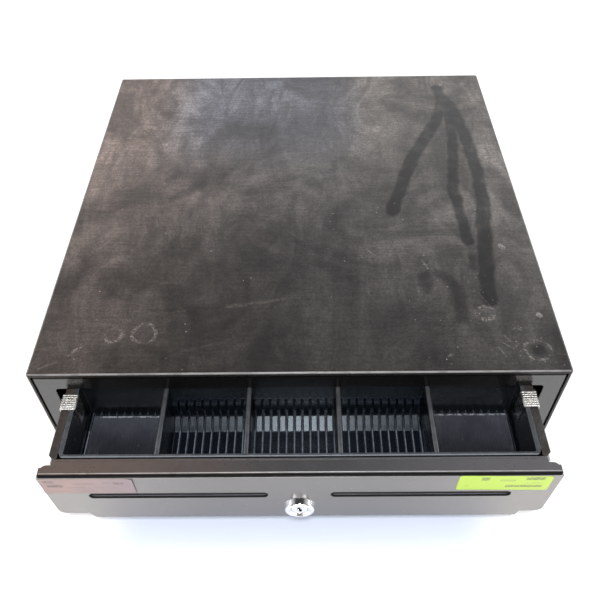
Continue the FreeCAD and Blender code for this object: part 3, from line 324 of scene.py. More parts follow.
def painted(name, dust):
    """A new surface of paint, and how much dust lies on each part of it."""
    s = Surface(name)
    haze = s.noise(0.09, 5.0, 0.6)
    fine = s.noise(0.004, 3.0, 0.7)
    speck = s.step(s.noise(0.0016, 1.0, 0.5), 0.72, 0.8)
    amount = s.math("MULTIPLY", s.step(haze, 0.3, 0.75, 0.35, 1.0), dust)
    amount = s.math("ADD", amount, s.math("MULTIPLY", s.step(fine, 0.45, 0.75), dust * 0.5))
    amount = s.math("ADD", amount, s.math("MULTIPLY", speck, 0.05))
    return s, amount


def finish_paint(s, amount, ground, rough, grain_size, grain_depth, edge_radius=0.0009,
                 warmth=0.0, violet=0.0, gloss=1.5, painted_highlight=0.10):
    """Turns a paint's dust into colour, roughness and bump, with a painted highlight on its edges
    and bends.
    """
    # Painted highlight: edges and forward-leaning bends are lightened towards a pale grey.
    worn = s.math("MAXIMUM", s.edge(edge_radius), s.math("MULTIPLY", painted_bend_highlight(s), 2.6))
    dust = s.mix(violet, s.mix(warmth, DUST, DUST_WARM), DUST_VIOLET)
    colour = s.mix(amount, ground, dust)
    colour = s.mix(s.math("MULTIPLY", worn, painted_highlight), colour, PAINT_HIGHLIGHT)
    grain = s.noise(grain_size, 2.0, 0.55)
    mottle = s.noise(0.02, 3.0, 0.6)
    roughness = s.math("ADD", s.step(mottle, 0.3, 0.7, rough - 0.03, rough + 0.04),
                       s.math("MULTIPLY", amount, 1.2))
    s.shade(Base_Color=colour, Roughness=roughness, IOR=gloss,
            Specular_Tint=s.mix(warmth, (1.0, 1.0, 1.0), (1.0, 0.84, 0.76)),
            Normal=s.bump(grain, grain_depth, s.soft_normal(edge_radius)))
    return s.material


def painted_bend_highlight(s):
    """1 on the part of a bend that leans forward, where a highlight is painted."""
    _, y, z = s.facing()
    bend = s.math("MULTIPLY", s.step(y, -0.3, -0.55), s.step(z, 0.3, 0.6))
    return s.math("MULTIPLY", bend, s.step(s.noise(0.012, 3.0), 0.3, 0.6, 0.6, 1.0))


def uneven_place(s):
    """The place seen from above, pushed about a little so that the marks have uneven sides."""
    warp = s.nodes.new("ShaderNodeTexNoise")
    s.plug(warp.inputs["Vector"], s.place)
    warp.inputs["Scale"].default_value = 60.0
    warp.inputs["Detail"].default_value = 3.0
    shift = s.vector("SUBTRACT", warp.outputs["Color"], (0.5, 0.5, 0.5))
    moved = s.axes(s.vector("ADD", s.place, s.vector("SCALE", shift, scale=0.007)))
    flat = s.nodes.new("ShaderNodeCombineXYZ")
    s.plug(flat.inputs[0], moved[0])
    s.plug(flat.inputs[1], moved[1])
    return flat.outputs[0]


def bars(s, before, point, line, half_width, fade, strength):
    """The marks before, with soft-ended bars along a line; all of it in millimetres."""
    places = [on_cover(*place) for place in line]
    for start, end in zip(places, places[1:]):
        before = stroke(s, before, point, start, end, half_width * MM, fade * MM, strength)
    return before


def distance(s, point, middle):
    """How far the point is from a place on the cover."""
    return s.vector("LENGTH", s.vector("SUBTRACT", point, tuple(on_cover(*middle))))


def wiped_dust(s, point):
    """How much of the dust is wiped away."""
    wiped = 0.0
    for line, half_width, fade, strength in WIPES:
        wiped = bars(s, wiped, point, line, half_width, fade, strength)
    return s.math("MULTIPLY", wiped, s.step(s.noise(0.02, 3.0, 0.6), 0.2, 0.6, 0.65, 1.0))


def pale_marks(s, point, wiped):
    """Scratches and rings. They continue the chain of the wipes, as stroke_group says."""
    marks = s.math("MULTIPLY", wiped, NEXT_TO_NOTHING)
    for line, half_width, strength in SCRATCHES:
        marks = bars(s, marks, point, line, half_width, SCRATCH_FADE, strength)
    for middle, radius in RINGS:
        off = s.math("ABSOLUTE", s.math("SUBTRACT", distance(s, point, middle), radius * MM))
        ring = s.math("MULTIPLY", s.step(off, 2.0 * MM, 0.2 * MM),
                      s.step(s.noise(0.0035, 2.0, 0.6), 0.42, 0.64, 0.1, 1.0))
        marks = s.math("MAXIMUM", marks, s.math("MULTIPLY", ring, 1.7))
    return s.math("MULTIPLY", marks, s.step(s.noise(0.0018, 3.0, 0.75), 0.42, 0.6, 0.1, 1.0))


def layer_of_dust(s, x, y, streaks):
    """The dust all over the top, in patches and streaks; the whole layer is paler towards the back
    and the sides.
    """
    patches = s.noise(0.11, 5.0, 0.6, twist=0.9)
    sweeps = s.noise(1.0, 4.0, 0.7, place=s.stretched(34.0, 420.0, 1.0), twist=0.4)
    dusty = s.math("MULTIPLY", s.step(patches, 0.34, 0.62, 0.42, 1.25),
                   s.step(streaks, 0.32, 0.7, 0.6, 1.25))
    dusty = s.math("MULTIPLY", dusty, s.step(sweeps, 0.3, 0.72, 0.8, 1.22))
    dusty = s.math("MULTIPLY", dusty, s.step(s.noise(0.0016, 3.0, 0.8), 0.3, 0.7, 0.58, 1.42))
    # Paler towards the back and the sides.
    depth = s.step(y, cover_low.y, cover_low.y + 0.46, 0.2, 1.42)
    across = s.step(s.math("ABSOLUTE", x), 0.02, 0.18, 0.82, 1.12)
    return s.math("MULTIPLY", s.math("MULTIPLY", dusty, s.math("MULTIPLY", depth, across)), HAZE)


def grit(s, point, streaks):
    """Pale flecks all over, and crumbs where the grit has gathered."""
    fleck = s.step(s.cells(0.009).outputs["Distance"], 0.09, 0.03)
    fleck = s.math("MULTIPLY", fleck, s.step(s.noise(0.04, 3.0, 0.6), 0.5, 0.62))
    crumbs = s.step(s.cells(0.0036).outputs["Distance"], 0.20, 0.10)
    for middle, radius in CRUMBS:
        near = s.step(distance(s, point, middle), radius * MM, radius * 0.2 * MM)
        near = s.math("MULTIPLY", near, s.step(streaks, 0.4, 0.6))
        fleck = s.math("MAXIMUM", fleck, s.math("MULTIPLY", crumbs, near))
    return fleck


def cover_paint():
    """The casing's paint: on top it is dusty, wiped in streaks, ringed and scratched."""
    s, amount = painted("cover_paint", dust=0.03)
    x, y, _ = s.axes(s.place)
    point = uneven_place(s)
    wiped = wiped_dust(s, point)
    marks = pale_marks(s, point, wiped)
    streaks = s.noise(1.0, 6.0, 0.66, place=s.stretched(30.0, 11.0, 1.0), twist=1.6)
    on_top = s.math("MULTIPLY", layer_of_dust(s, x, y, streaks), s.math("SUBTRACT", 1.0, wiped))
    on_top = s.math("ADD", on_top, s.math("MULTIPLY", marks, 0.26))
    on_top = s.math("ADD", on_top, s.math("MULTIPLY", grit(s, point, streaks), 0.62))
    faces_up = s.step(s.facing()[2], 0.6, 0.95)
    on_top = s.math("MULTIPLY", on_top, faces_up, clamp=True)
    on_sides = s.math("MULTIPLY", amount, s.math("SUBTRACT", 1.0, faces_up))
    amount = s.math("ADD", on_sides, on_top)
    left = s.step(x, -0.20, 0.04, 1.0, 0.12)
    violet = s.math("MULTIPLY", s.step(y, cover_low.y + 0.2, cover_low.y + 0.34),
                    s.step(s.math("ABSOLUTE", s.math("ADD", x, 0.04)), 0.13, 0.05))
    s.shade(Specular_IOR_Level=0.3)
    # The cover's edges and forward-leaning bends get a painted highlight.
    return finish_paint(s, amount, BLACK, 0.3, 0.0011, 0.00003,
                        warmth=left, violet=violet, painted_highlight=0.2)


def front_paint():
    """The same paint on the face frame, and greyer on the drawer front, paler towards its sides;
    painted shade along the frame's top edge and painted sheen towards the frame's sides.
    """
    s, amount = painted("front_paint", dust=0.003)
    x, y, z = s.axes(s.place)
    aside = s.math("ABSOLUTE", x)
    drawer = s.step(y, cover_low.y - 0.03, cover_low.y - 0.05)
    ground = s.mix(s.step(aside, 0.05, 0.17), (0.110, 0.106, 0.111), (0.175, 0.165, 0.166))
    ground = s.mix(drawer, BLACK, ground)
    # Painted shade: the gloss is cut along the frame's top edge under the hem. Painted sheen: the
    # gloss rises towards the frame's sides.
    frame_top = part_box("front_frame")[1].z
    painted_gap_shade = s.step(z, frame_top - 1.5 * MM, frame_top - 2.2 * MM)
    ends = s.math("MULTIPLY", s.step(aside, 0.10, 0.16, 0.13, 0.74), s.math("MAXIMUM", painted_gap_shade, 0.06))
    s.shade(Specular_IOR_Level=s.math("MAXIMUM", ends, s.math("MULTIPLY", drawer, 0.5)))
    return finish_paint(s, amount, ground, 0.22, 0.0012, 0.00002, 0.0005, gloss=1.68)


def ledge_paint():
    """The ledge's paint: brown towards the left, black in the middle, grey towards the right."""
    s, amount = painted("ledge_paint", dust=0.05)
    x = s.axes(s.place)[0]
    side = s.step(x, -0.17, 0.02, 1.0, 0.0)
    ground = s.mix(side, (0.024, 0.024, 0.027), (0.066, 0.048, 0.042))
    ground = s.mix(s.step(x, 0.03, 0.15), ground, (0.060, 0.058, 0.062))
    # The ledge's edges and rolled front edge get a painted highlight.
    return finish_paint(s, amount, ground, 0.26, 0.001, 0.00002, 0.0004, warmth=side, painted_highlight=0.24)


def bare_metal(name, colour, rough, brush=(1.0, 1.0, 1.0), dirt=0.25, spangle=False):
    """Plated or bare steel: fine brush lines, soft stains, brighter edges."""
    s = Surface(name)
    lines = s.noise(0.0009, 3.0, 0.6, place=s.stretched(*brush))
    stain = s.noise(0.018, 4.0, 0.6)
    dark = tuple(c * 0.62 for c in colour)
    tone = s.mix(s.math("MULTIPLY", s.step(stain, 0.35, 0.75), dirt), colour, dark)
    if spangle:
        flakes = s.cells(0.011, "SMOOTH_F1")
        tint = s.axes(flakes.outputs["Color"])[0]
        tone = s.mix(s.step(tint, 0.2, 0.9, 0.0, 0.35), tone, dark)
    bright = tuple(min(1.0, c * 1.25) for c in colour)
    tone = s.mix(s.math("MULTIPLY", s.edge(0.0005), 0.5), tone, bright)
    roughness = s.math("ADD", s.step(stain, 0.3, 0.8, rough, rough + 0.12),
                       s.step(lines, 0.3, 0.7, -0.03, 0.05))
    s.shade(Base_Color=tone, Metallic=1.0, Roughness=roughness,
            Normal=s.bump(lines, 0.000004, s.soft_normal(0.0003)))
    return s.material


def flow_marks(s):
    """The long soft marks that the flowing plastic leaves in a moulding."""
    return s.noise(0.05, 4.0, 0.6, place=s.stretched(1.0, 0.5, 1.0), twist=0.8)


def moulded(name, colour, rough):
    """Moulded plastic: fine texture, flow marks, dust in the corners and a painted highlight on the
    edges.
    """
    s = Surface(name)
    flow = flow_marks(s)
    dust = s.step(s.noise(0.006, 4.0, 0.7), 0.5, 0.8)
    pale = tuple(min(1.0, c * 2.0 + 0.004) for c in colour)
    tone = s.mix(s.step(flow, 0.3, 0.75, 0.0, 0.35), colour, pale)
    tone = s.mix(s.math("MULTIPLY", dust, 0.03), tone, DUST_COOL)
    # Painted highlight: the edges are lightened a little.
    tone = s.mix(s.math("MULTIPLY", s.edge(PLASTIC_EDGE), 0.05), tone, PLASTIC_HIGHLIGHT)
    grain = s.noise(0.0008, 2.0, 0.5)
    roughness = s.math("ADD", s.step(flow, 0.3, 0.7, rough, rough + 0.08),
                       s.math("MULTIPLY", dust, 0.2))
    s.shade(Base_Color=tone, Roughness=roughness, IOR=1.5, Specular_Tint=COOL_GLOSS,
            Normal=s.bump(grain, 0.00001, s.soft_normal(PLASTIC_ROUND)))
    return s.material


def mat_plastic():
    """The cups' liners: a painted highlight along the fins' crests and edges, and a painted sheen
    strongest in the middle cup.
    """
    s = Surface("mat_plastic")
    x, y, z = s.axes(s.place)
    fin_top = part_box("floor_plates")[0].z
    comb_start, comb_full = 43.0 * MM, 47.0 * MM
    below_combs = s.step(z, comb_full, comb_start)
    # Painted highlight along the fins' crests, strongest towards the front.
    crest = s.math("MULTIPLY", s.step(z, fin_top - 0.9 * MM, fin_top - 0.3 * MM), below_combs)
    crest = s.math("MULTIPLY", crest, s.step(s.noise(0.003, 3.0, 0.6), 0.25, 0.6, 0.4, 1.0))
    bars = s.step(y, cover_low.y - 0.014, cover_low.y - 0.011)
    painted_highlight = s.math("MULTIPLY", crest, s.step(bars, 0.0, 1.0, 0.48, 0.08))
    # Painted highlight on the fins' edges as well.
    worn = s.math("MULTIPLY", s.edge(PLASTIC_EDGE), s.step(z, 0.044, 0.047, 0.35, 0.10))
    painted_highlight = s.math("MAXIMUM", painted_highlight, worn)
    tone = s.mix(painted_highlight, (0.0030, 0.0045, 0.0075), (0.27, 0.32, 0.40))
    grain = s.noise(0.0009, 3.0, 0.6)
    # Painted sheen: more gloss in the middle cup than in the outer ones.
    painted_cup_sheen = s.step(s.math("ABSOLUTE", x), 0.03, 0.04, 0.24, 0.14)
    painted_cup_sheen = s.math("MULTIPLY", painted_cup_sheen, s.step(grain, 0.35, 0.65, 0.6, 1.3))
    s.shade(Base_Color=tone, Roughness=s.step(grain, 0.3, 0.7, 0.2, 0.32), IOR=1.5,
            Specular_IOR_Level=painted_cup_sheen, Specular_Tint=(0.76, 0.88, 1.0),
            Normal=s.bump(grain, 0.00002, s.soft_normal(PLASTIC_ROUND)))
    return s.material


def till_plastic():
    """The till: black, with dust along its walls' tops, and a painted highlight along its front rim
    and its edges.
    """
    s = Surface("till_plastic")
    low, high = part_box("till_tray")
    _, y, z = s.axes(s.place)
    top = s.step(z, high.z - 1.1 * MM, high.z - 0.5 * MM)
    dusty = s.math("MULTIPLY", top, s.step(s.noise(0.008, 4.0, 0.7), 0.3, 0.7, 0.5, 1.2))
    # Painted highlight: a thin pale line along the rim's front top edge.
    rim = s.math("MULTIPLY", top, s.step(y, low.y + 1.1 * MM, low.y + 0.6 * MM))
    flow = flow_marks(s)
    flecks = s.step(s.noise(0.006, 4.0, 0.7), 0.5, 0.8)
    tone = s.mix(s.step(flow, 0.3, 0.75), (0.004, 0.005, 0.0065), (0.008, 0.010, 0.013))
    tone = s.mix(s.math("MULTIPLY", flecks, 0.03), tone, DUST_COOL)
    tone = s.mix(s.math("MULTIPLY", dusty, 0.12), tone, (0.34, 0.34, 0.37))
    # Painted highlight on the rim, and more faintly on all edges.
    worn = s.math("MAXIMUM", rim, s.math("MULTIPLY", s.edge(PLASTIC_EDGE), 0.5))
    tone = s.mix(s.math("MULTIPLY", worn, 0.34), tone, PLASTIC_HIGHLIGHT)
    grain = s.noise(0.0008, 2.0, 0.5)
    s.shade(Base_Color=tone, Roughness=s.step(flow, 0.3, 0.7, 0.22, 0.3), IOR=1.5,
            Specular_Tint=COOL_GLOSS, Normal=s.bump(grain, 0.00001, s.soft_normal(PLASTIC_ROUND)))
    return s.material


def plate_plastic():
    """The loose plates in the outer cups: a painted sheen, paler in patches towards their back,
    painted highlights on their edges and along the back edge, and pale specks.
    """
    s = Surface("plate_plastic")
    low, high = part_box("floor_plates")
    y = s.axes(s.place)[1]
    patches = s.step(s.noise(0.03, 4.0, 0.6), 0.3, 0.7, 0.5, 1.3)
    # Painted sheen: paler in patches towards the back of the plate.
    painted_back_sheen = s.math("MULTIPLY", s.step(y, low.y + 0.01, high.y), patches)
    lines = s.noise(0.0011, 3.0, 0.6, place=s.stretched(1.0, 0.05, 1.0))
    specks = s.step(s.cells(0.006).outputs["Distance"], 0.07, 0.03)
    tone = s.mix(s.math("MULTIPLY", painted_back_sheen, 0.13), (0.010, 0.011, 0.016), (0.24, 0.26, 0.32))
    tone = s.mix(s.math("MULTIPLY", specks, 0.5), tone, (0.4, 0.42, 0.46))
    # Painted highlight on the edges.
    tone = s.mix(s.math("MULTIPLY", s.edge(PLASTIC_EDGE), 0.4), tone, (0.36, 0.40, 0.46))
    # Painted highlight along the back edge.
    back_edge = s.step(y, high.y - 2.0 * MM, high.y - 1.0 * MM)
    painted_back_glint = s.math("MULTIPLY", back_edge, s.step(s.noise(0.003), 0.35, 0.6))
    tone = s.mix(s.math("MULTIPLY", painted_back_glint, 0.5), tone, (0.40, 0.43, 0.48))
    s.shade(Base_Color=tone, Roughness=s.step(lines, 0.3, 0.7, 0.2, 0.32), IOR=1.5,
            Normal=s.bump(lines, 0.00001, s.soft_normal(PLASTIC_ROUND)))
    return s.material


def clip_steel():
    """Plated spring steel: a painted highlight along the ribs' backs, duller and stained between
    them and down the legs.
    """
    s = Surface("clip_steel")
    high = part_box("till_clips")[1]
    z = s.axes(s.place)[2]
    # Painted highlight: the tops of the ribs are made bright.
    painted_highlight = s.step(z, high.z - 0.7 * MM, high.z - 0.3 * MM)
    stain = s.noise(0.003, 4.0, 0.65)
    dull = s.mix(s.step(stain, 0.3, 0.7), (0.38, 0.38, 0.385), (0.58, 0.57, 0.555))
    tone = s.mix(painted_highlight, dull, (0.97, 0.95, 0.92))
    s.shade(Base_Color=tone, Metallic=1.0, Roughness=s.step(stain, 0.3, 0.7, 0.2, 0.34),
            Normal=s.bump(stain, 0.00002, s.soft_normal(0.0002)))
    return s.material


def lock_chrome():
    """Bright chrome, with a painted dark reflection round the lower part of the bezel's rim."""
    s = Surface("lock_chrome")
    low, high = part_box("lock_plug")
    middle = (low + high) / 2
    x, _, z = s.axes(s.place)
    drop = s.math("SUBTRACT", middle.z, z)
    aside = s.math("SUBTRACT", x, middle.x)
    square = s.math("ADD", s.math("MULTIPLY", aside, aside), s.math("MULTIPLY", drop, drop))
    far = s.math("SQRT", square)
    # Painted reflection: the lower part of the bezel's rim is darkened as if it mirrored the shade
    # under the drawer.
    painted_rim_reflection = s.math("MULTIPLY", s.step(far, 9.2 * MM, 10.2 * MM), s.step(drop, 2.0 * MM, 6.0 * MM))
    stain = s.noise(0.002, 4.0, 0.7)
    tone = s.mix(s.step(stain, 0.35, 0.75, 0.0, 0.12), (0.88, 0.88, 0.89), (0.5, 0.5, 0.52))
    tone = s.mix(s.math("MULTIPLY", painted_rim_reflection, 0.85), tone, (0.20, 0.20, 0.21))
    s.shade(Base_Color=tone, Metallic=1.0, Roughness=s.step(stain, 0.3, 0.7, 0.05, 0.1),
            Normal=s.bump(stain, 0.0000005, s.soft_normal(0.0003)))
    return s.material


def label_material(name, paper, tint, node, bars):
    """Coated label paper, with faint bars in place of its print."""
    s = Surface(name)
    low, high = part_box(node)
    x, _, z = s.axes(s.place)
    across = s.math("DIVIDE", s.math("SUBTRACT", x, low.x), high.x - low.x)
    up = s.math("DIVIDE", s.math("SUBTRACT", z, low.z), high.z - low.z)
    fibre = s.noise(0.0007, 3.0, 0.7)
    stain = s.noise(0.02, 3.0, 0.6)
    colour = s.mix(s.math("ADD", across, s.step(stain, 0.3, 0.7, -0.2, 0.2)), paper, tint)
    colour = s.mix(s.step(fibre, 0.4, 0.7, 0.0, 0.08), colour, (0.3, 0.3, 0.3))
    for left, right, bottom, top, strength in bars:
        inside = s.step(across, left, left + 0.01)
        inside = s.math("MULTIPLY", inside, s.step(across, right, right - 0.01))
        inside = s.math("MULTIPLY", inside, s.step(up, bottom, bottom + 0.03))
        inside = s.math("MULTIPLY", inside, s.step(up, top, top - 0.03))
        worn = s.step(s.noise(0.0012, 2.0, 0.6), 0.35, 0.6, 0.3, 1.0)
        colour = s.mix(s.math("MULTIPLY", s.math("MULTIPLY", inside, worn), strength), colour,
                       (0.07, 0.075, 0.07))
    s.shade(Base_Color=colour, Roughness=s.step(stain, 0.3, 0.7, 0.42, 0.55), IOR=1.45,
            Normal=s.bump(fibre, 0.00001))
    return s.material


def rubber():
    """Black rubber, matt and a little scuffed."""
    s = Surface("rubber")
    grain = s.noise(0.0006, 3.0, 0.6)
    scuff = s.step(s.noise(0.005, 4.0, 0.7), 0.5, 0.8)
    tone = s.mix(s.math("MULTIPLY", scuff, 0.12), (0.004, 0.004, 0.0045), (0.05, 0.05, 0.05))
    s.shade(Base_Color=tone,
            Roughness=s.step(grain, 0.3, 0.7, 0.6, 0.8), Specular_IOR_Level=0.15,
            Normal=s.bump(grain, 0.00004))
    return s.material


def coil_tape():
    """Amber insulating tape, wound round the coil in narrow turns."""
    s = Surface("coil_tape")
    turns = s.math("SINE", s.math("MULTIPLY", s.axes(s.place)[2], 2600.0))
    crinkle = s.noise(0.003, 3.0, 0.6)
    s.shade(Base_Color=s.mix(s.step(crinkle, 0.3, 0.7), (0.42, 0.24, 0.05), (0.55, 0.34, 0.09)),
            Roughness=0.35, Normal=s.bump(s.math("ADD", turns, crinkle), 0.00005))
    return s.material


# Bars on a label, as shares of its width and height: left, right, bottom, top and strength.
PINK_BARS = [
    (0.04, 0.16, 0.70, 0.90, 0.62), (0.34, 0.58, 0.62, 0.72, 0.55),
    (0.66, 0.84, 0.66, 0.80, 0.34), (0.06, 0.24, 0.42, 0.62, 0.85),
    (0.26, 0.46, 0.36, 0.46, 0.27), (0.78, 0.90, 0.58, 0.78, 0.66),
    (0.55, 0.80, 0.36, 0.44, 0.20), (0.05, 0.30, 0.10, 0.20, 0.20),
]
LIME_BARS = [
    (0.24, 0.34, 0.66, 0.90, 0.72), (0.44, 0.62, 0.60, 0.76, 0.36),
    (0.71, 0.92, 0.68, 0.90, 0.78), (0.52, 0.92, 0.20, 0.38, 0.72),
    (0.08, 0.14, 0.28, 0.36, 0.39), (0.72, 0.90, 0.46, 0.54, 0.33),
]

MAKERS = {
    "cover_paint": cover_paint,
    "front_paint": front_paint,
    "ledge_paint": ledge_paint,
    "zinc_sheet": lambda: bare_metal("zinc_sheet", (0.62, 0.63, 0.64), 0.34, spangle=True),
    "rail_steel": lambda: bare_metal("rail_steel", (0.66, 0.67, 0.69), 0.24,
                                     brush=(1.0, 0.03, 1.0)),
    "ball_steel": lambda: bare_metal("ball_steel", (0.80, 0.81, 0.83), 0.08, dirt=0.1),
    "screw_zinc": lambda: bare_metal("screw_zinc", (0.60, 0.60, 0.58), 0.3),
    "lock_chrome": lock_chrome,
    "clip_steel": clip_steel,
    "till_plastic": till_plastic,
    "mat_plastic": mat_plastic,
    "plate_plastic": plate_plastic,
    "chute_plastic": lambda: moulded("chute_plastic", (0.17, 0.17, 0.20), 0.4),
    "black_plastic": lambda: moulded("black_plastic", (0.012, 0.012, 0.013), 0.42),
    "rubber": rubber,
    "coil_tape": coil_tape,
    "spring_steel": lambda: bare_metal("spring_steel", (0.50, 0.50, 0.50), 0.26),
    "contact_gold": lambda: bare_metal("contact_gold", (0.83, 0.66, 0.28), 0.18, dirt=0.1),
    "label_pink": lambda: label_material("label_pink", (0.30, 0.205, 0.19), (0.225, 0.18, 0.205),
                                         "label_left", PINK_BARS),
    "label_lime": lambda: label_material("label_lime", (0.38, 0.54, 0.062), (0.41, 0.55, 0.09),
                                         "label_right", LIME_BARS),
}
materials = {slot: make() for slot, make in MAKERS.items()}

for part in frame["record"]["subparts"]:
    mesh = frame["nodes"][part["node"]].data
    mesh.materials.clear()
    mesh.materials.append(materials[part["material_slot"]])


# ================================================================ detail pieces
ARC_STEPS = 8
# A black cord stands in for the shade in the gap under the ledge.
SHADE_CORD_RADIUS = 1.15 * MM
SHADE_CORD_BEND = 1.2 * MM
EDGING_RADIUS = 0.72 * MM
EDGING_INSET = 0.35 * MM           # from the slot's edge to the middle of the edging
SLOT_NEAR = 23.0 * MM              # the media slots' ends, from the middle of the drawer front
SLOT_FAR = 153.0 * MM
SLOT_HALF = 3.0 * MM
WINDING_TURNS = 24
WINDING_WIRE = 0.42 * MM           # a wire's radius
WINDING_END = 2.1 * MM             # from the end of the bobbin to the first and last turn
WINDING_DEPTH = 1.1 * MM           # from the bobbin's flange to the middle of the wire
SPRING_TURNS = 11
SPRING_WIRE = 0.55 * MM
PAPER_THICK = 0.09 * MM
PAPER_RIPPLE = 0.03 * MM


def add_object(name, data):
    """A new object in the scene."""
    thing = bpy.data.objects.new(name, data)
    bpy.context.scene.collection.objects.link(thing)
    return thing


def tube(name, points, radius, closed, material_slot, body):
    """A round cord or wire through the points, in the row frame."""
    curve = bpy.data.curves.new(name, "CURVE")
    curve.dimensions = "3D"
    curve.bevel_depth = radius
    curve.bevel_resolution = 3
    curve.use_fill_caps = True
    spline = curve.splines.new("POLY")
    spline.points.add(len(points) - 1)
    for knot, point in zip(spline.points, points):
        knot.co = (*point, 1.0)
    spline.use_cyclic_u = closed
    spline.use_smooth = True
    curve.materials.append(materials[material_slot])
    piece = add_object(name, curve)
    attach(piece, body)
    return piece


def arc(middle_x, middle_z, radius, start, end):
    """Points of an arc in the plane of the drawer front."""
    turns = [math.radians(start + (end - start) * i / ARC_STEPS) for i in range(ARC_STEPS + 1)]
    return [(middle_x + radius * math.cos(t), middle_z + radius * math.sin(t)) for t in turns]


def gap_shade_cord():
    """Painted shade: a black rubber cord in the gap between the drawer front and the ledge, and
    round the ears.
    """
    y = panel_low.y + 1.5 * MM
    back = panel_low.y + 8.2 * MM
    z = panel_high.z - 0.3 * MM
    x = panel_high.x - 1.45 * MM
    bend = SHADE_CORD_BEND
    right = [(x - bend, y, z), (x - 0.35 * bend, y + 0.35 * bend, z),
             (x, y + bend, z), (x, back, z)]
    left = [(-px, py, pz) for px, py, pz in reversed(right)]
    tube("gap_shade_cord", left + right, SHADE_CORD_RADIUS, False, "rubber", "drawer")


def slot_grommet(name, side):
    """Black edging round a media slot."""
    low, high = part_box("media_chutes")
    middle_z = (low.z + high.z) / 2
    radius = SLOT_HALF - EDGING_INSET
    outline = arc(SLOT_FAR - SLOT_HALF, middle_z, radius, -90, 90)
    outline += arc(SLOT_NEAR + SLOT_HALF, middle_z, radius, 90, 270)
    points = [(side * x, panel_low.y + 0.15 * MM, z) for x, z in outline]
    tube(name, points, EDGING_RADIUS, True, "rubber", "drawer")


def helix(radius, turns, steps):
    """Points round a circle, each with its share of the way along all the turns."""
    for i in range(turns * steps + 1):
        angle = 2 * math.pi * i / steps
        yield radius * math.cos(angle), radius * math.sin(angle), i / (turns * steps)


def coil_winding():
    """The solenoid's wire, wound between the bobbin's flanges."""
    low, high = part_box("solenoid_coil")
    middle = (low + high) / 2
    radius = (high.x - low.x) / 2 - WINDING_DEPTH
    first, last = low.z + WINDING_END, high.z - WINDING_END
    points = []
    for across, up, share in helix(radius, WINDING_TURNS, 24):
        points.append((middle.x + across, middle.y + up, first + (last - first) * share))
    tube("coil_winding", points, WINDING_WIRE, False, "contact_gold", "casing")


def ejector_coil():
    """The ejector's spring, which shortens against its bracket as the drawer shuts on it; here it
    is drawn as a fixed coil.
    """
    low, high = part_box("ejector_spring")
    middle = (low + high) / 2
    first, last = low.y + SPRING_WIRE, high.y - SPRING_WIRE
    points = []
    for across, up, share in helix((high.x - low.x) / 2 - SPRING_WIRE, SPRING_TURNS, 20):
        points.append((middle.x + across, first + (last - first) * share, middle.z + up))
    drawn = tube("ejector_wire", points, SPRING_WIRE, False, "spring_steel", "casing")
    bpy.context.view_layer.update()
    mesh = bpy.data.meshes.new_from_object(drawn)
    bpy.data.objects.remove(drawn)
    spring = add_object("ejector_coil", mesh)
    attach(spring, "casing")
    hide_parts("ejector_spring")
    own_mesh(spring)


def rounded(x, z, half_x, half_z, corner):
    """A point of a rectangle, drawn in where it lies outside a rounded corner."""
    over_x = max(0.0, abs(x) - (half_x - corner))
    over_z = max(0.0, abs(z) - (half_z - corner))
    reach = math.hypot(over_x, over_z)
    if reach > corner:
        x -= math.copysign(over_x * (1 - corner / reach), x)
        z -= math.copysign(over_z * (1 - corner / reach), z)
    return x, z


def label_sheet(name, node, material_slot, tilt, corner, lift):
    """A thin sheet with rounded corners, stuck down but for its lifting right-hand edge."""
    low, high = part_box(node)
    turn = math.radians(tilt)
    wide, tall = high.x - low.x, high.z - low.z
    half_x = (wide * math.cos(turn) - tall * math.sin(abs(turn))) / 2
    half_z = (tall * math.cos(turn) - wide * math.sin(abs(turn))) / 2
    middle = (low + high) / 2
    columns, rows = 56, 20
    mesh = bpy.data.meshes.new(name)
    bm = bmesh.new()
    grid = []
    for i in range(columns + 1):
        line = []
        for j in range(rows + 1):
            x, z = rounded(half_x * (2 * i / columns - 1), half_z * (2 * j / rows - 1),
                           half_x, half_z, corner)
            share = max(0.0, x / half_x - 0.72) / 0.28
            ripple = PAPER_RIPPLE * (1 + math.sin(x / (4.1 * MM)) * math.cos(z / (3.3 * MM)))
            y = low.y - lift * share * share * (0.6 + 0.4 * z / half_z) - ripple
            place = (middle.x + x * math.cos(turn) + z * math.sin(turn), y,
                     middle.z + z * math.cos(turn) - x * math.sin(turn))
            line.append(bm.verts.new(place))
        grid.append(line)
    for left, right in zip(grid, grid[1:]):
        for a, b, c, d in zip(left, right, right[1:], left[1:]):
            bm.faces.new((a, b, c, d)).smooth = True
    bmesh.ops.remove_doubles(bm, verts=bm.verts, dist=1e-6)
    bmesh.ops.recalc_face_normals(bm, faces=bm.faces)
    bm.to_mesh(mesh)
    bm.free()
    mesh.materials.append(materials[material_slot])
    sheet = add_object(name, mesh)
    thick = sheet.modifiers.new("paper", "SOLIDIFY")
    thick.thickness = PAPER_THICK
    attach(sheet, "drawer")
    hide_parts(node)


gap_shade_cord()
slot_grommet("slot_grommet_left", -1)
slot_grommet("slot_grommet_right", 1)
coil_winding()
ejector_coil()
label_sheet("label_left_sheet", "label_left", "label_pink", 0.0, 0.7 * MM, 0.9 * MM)
label_sheet("label_right_sheet", "label_right", "label_lime", 1.2, 2.0 * MM, 0.25 * MM)


# ================================================================ floor, light, camera
FLOOR_HALF = 3.0


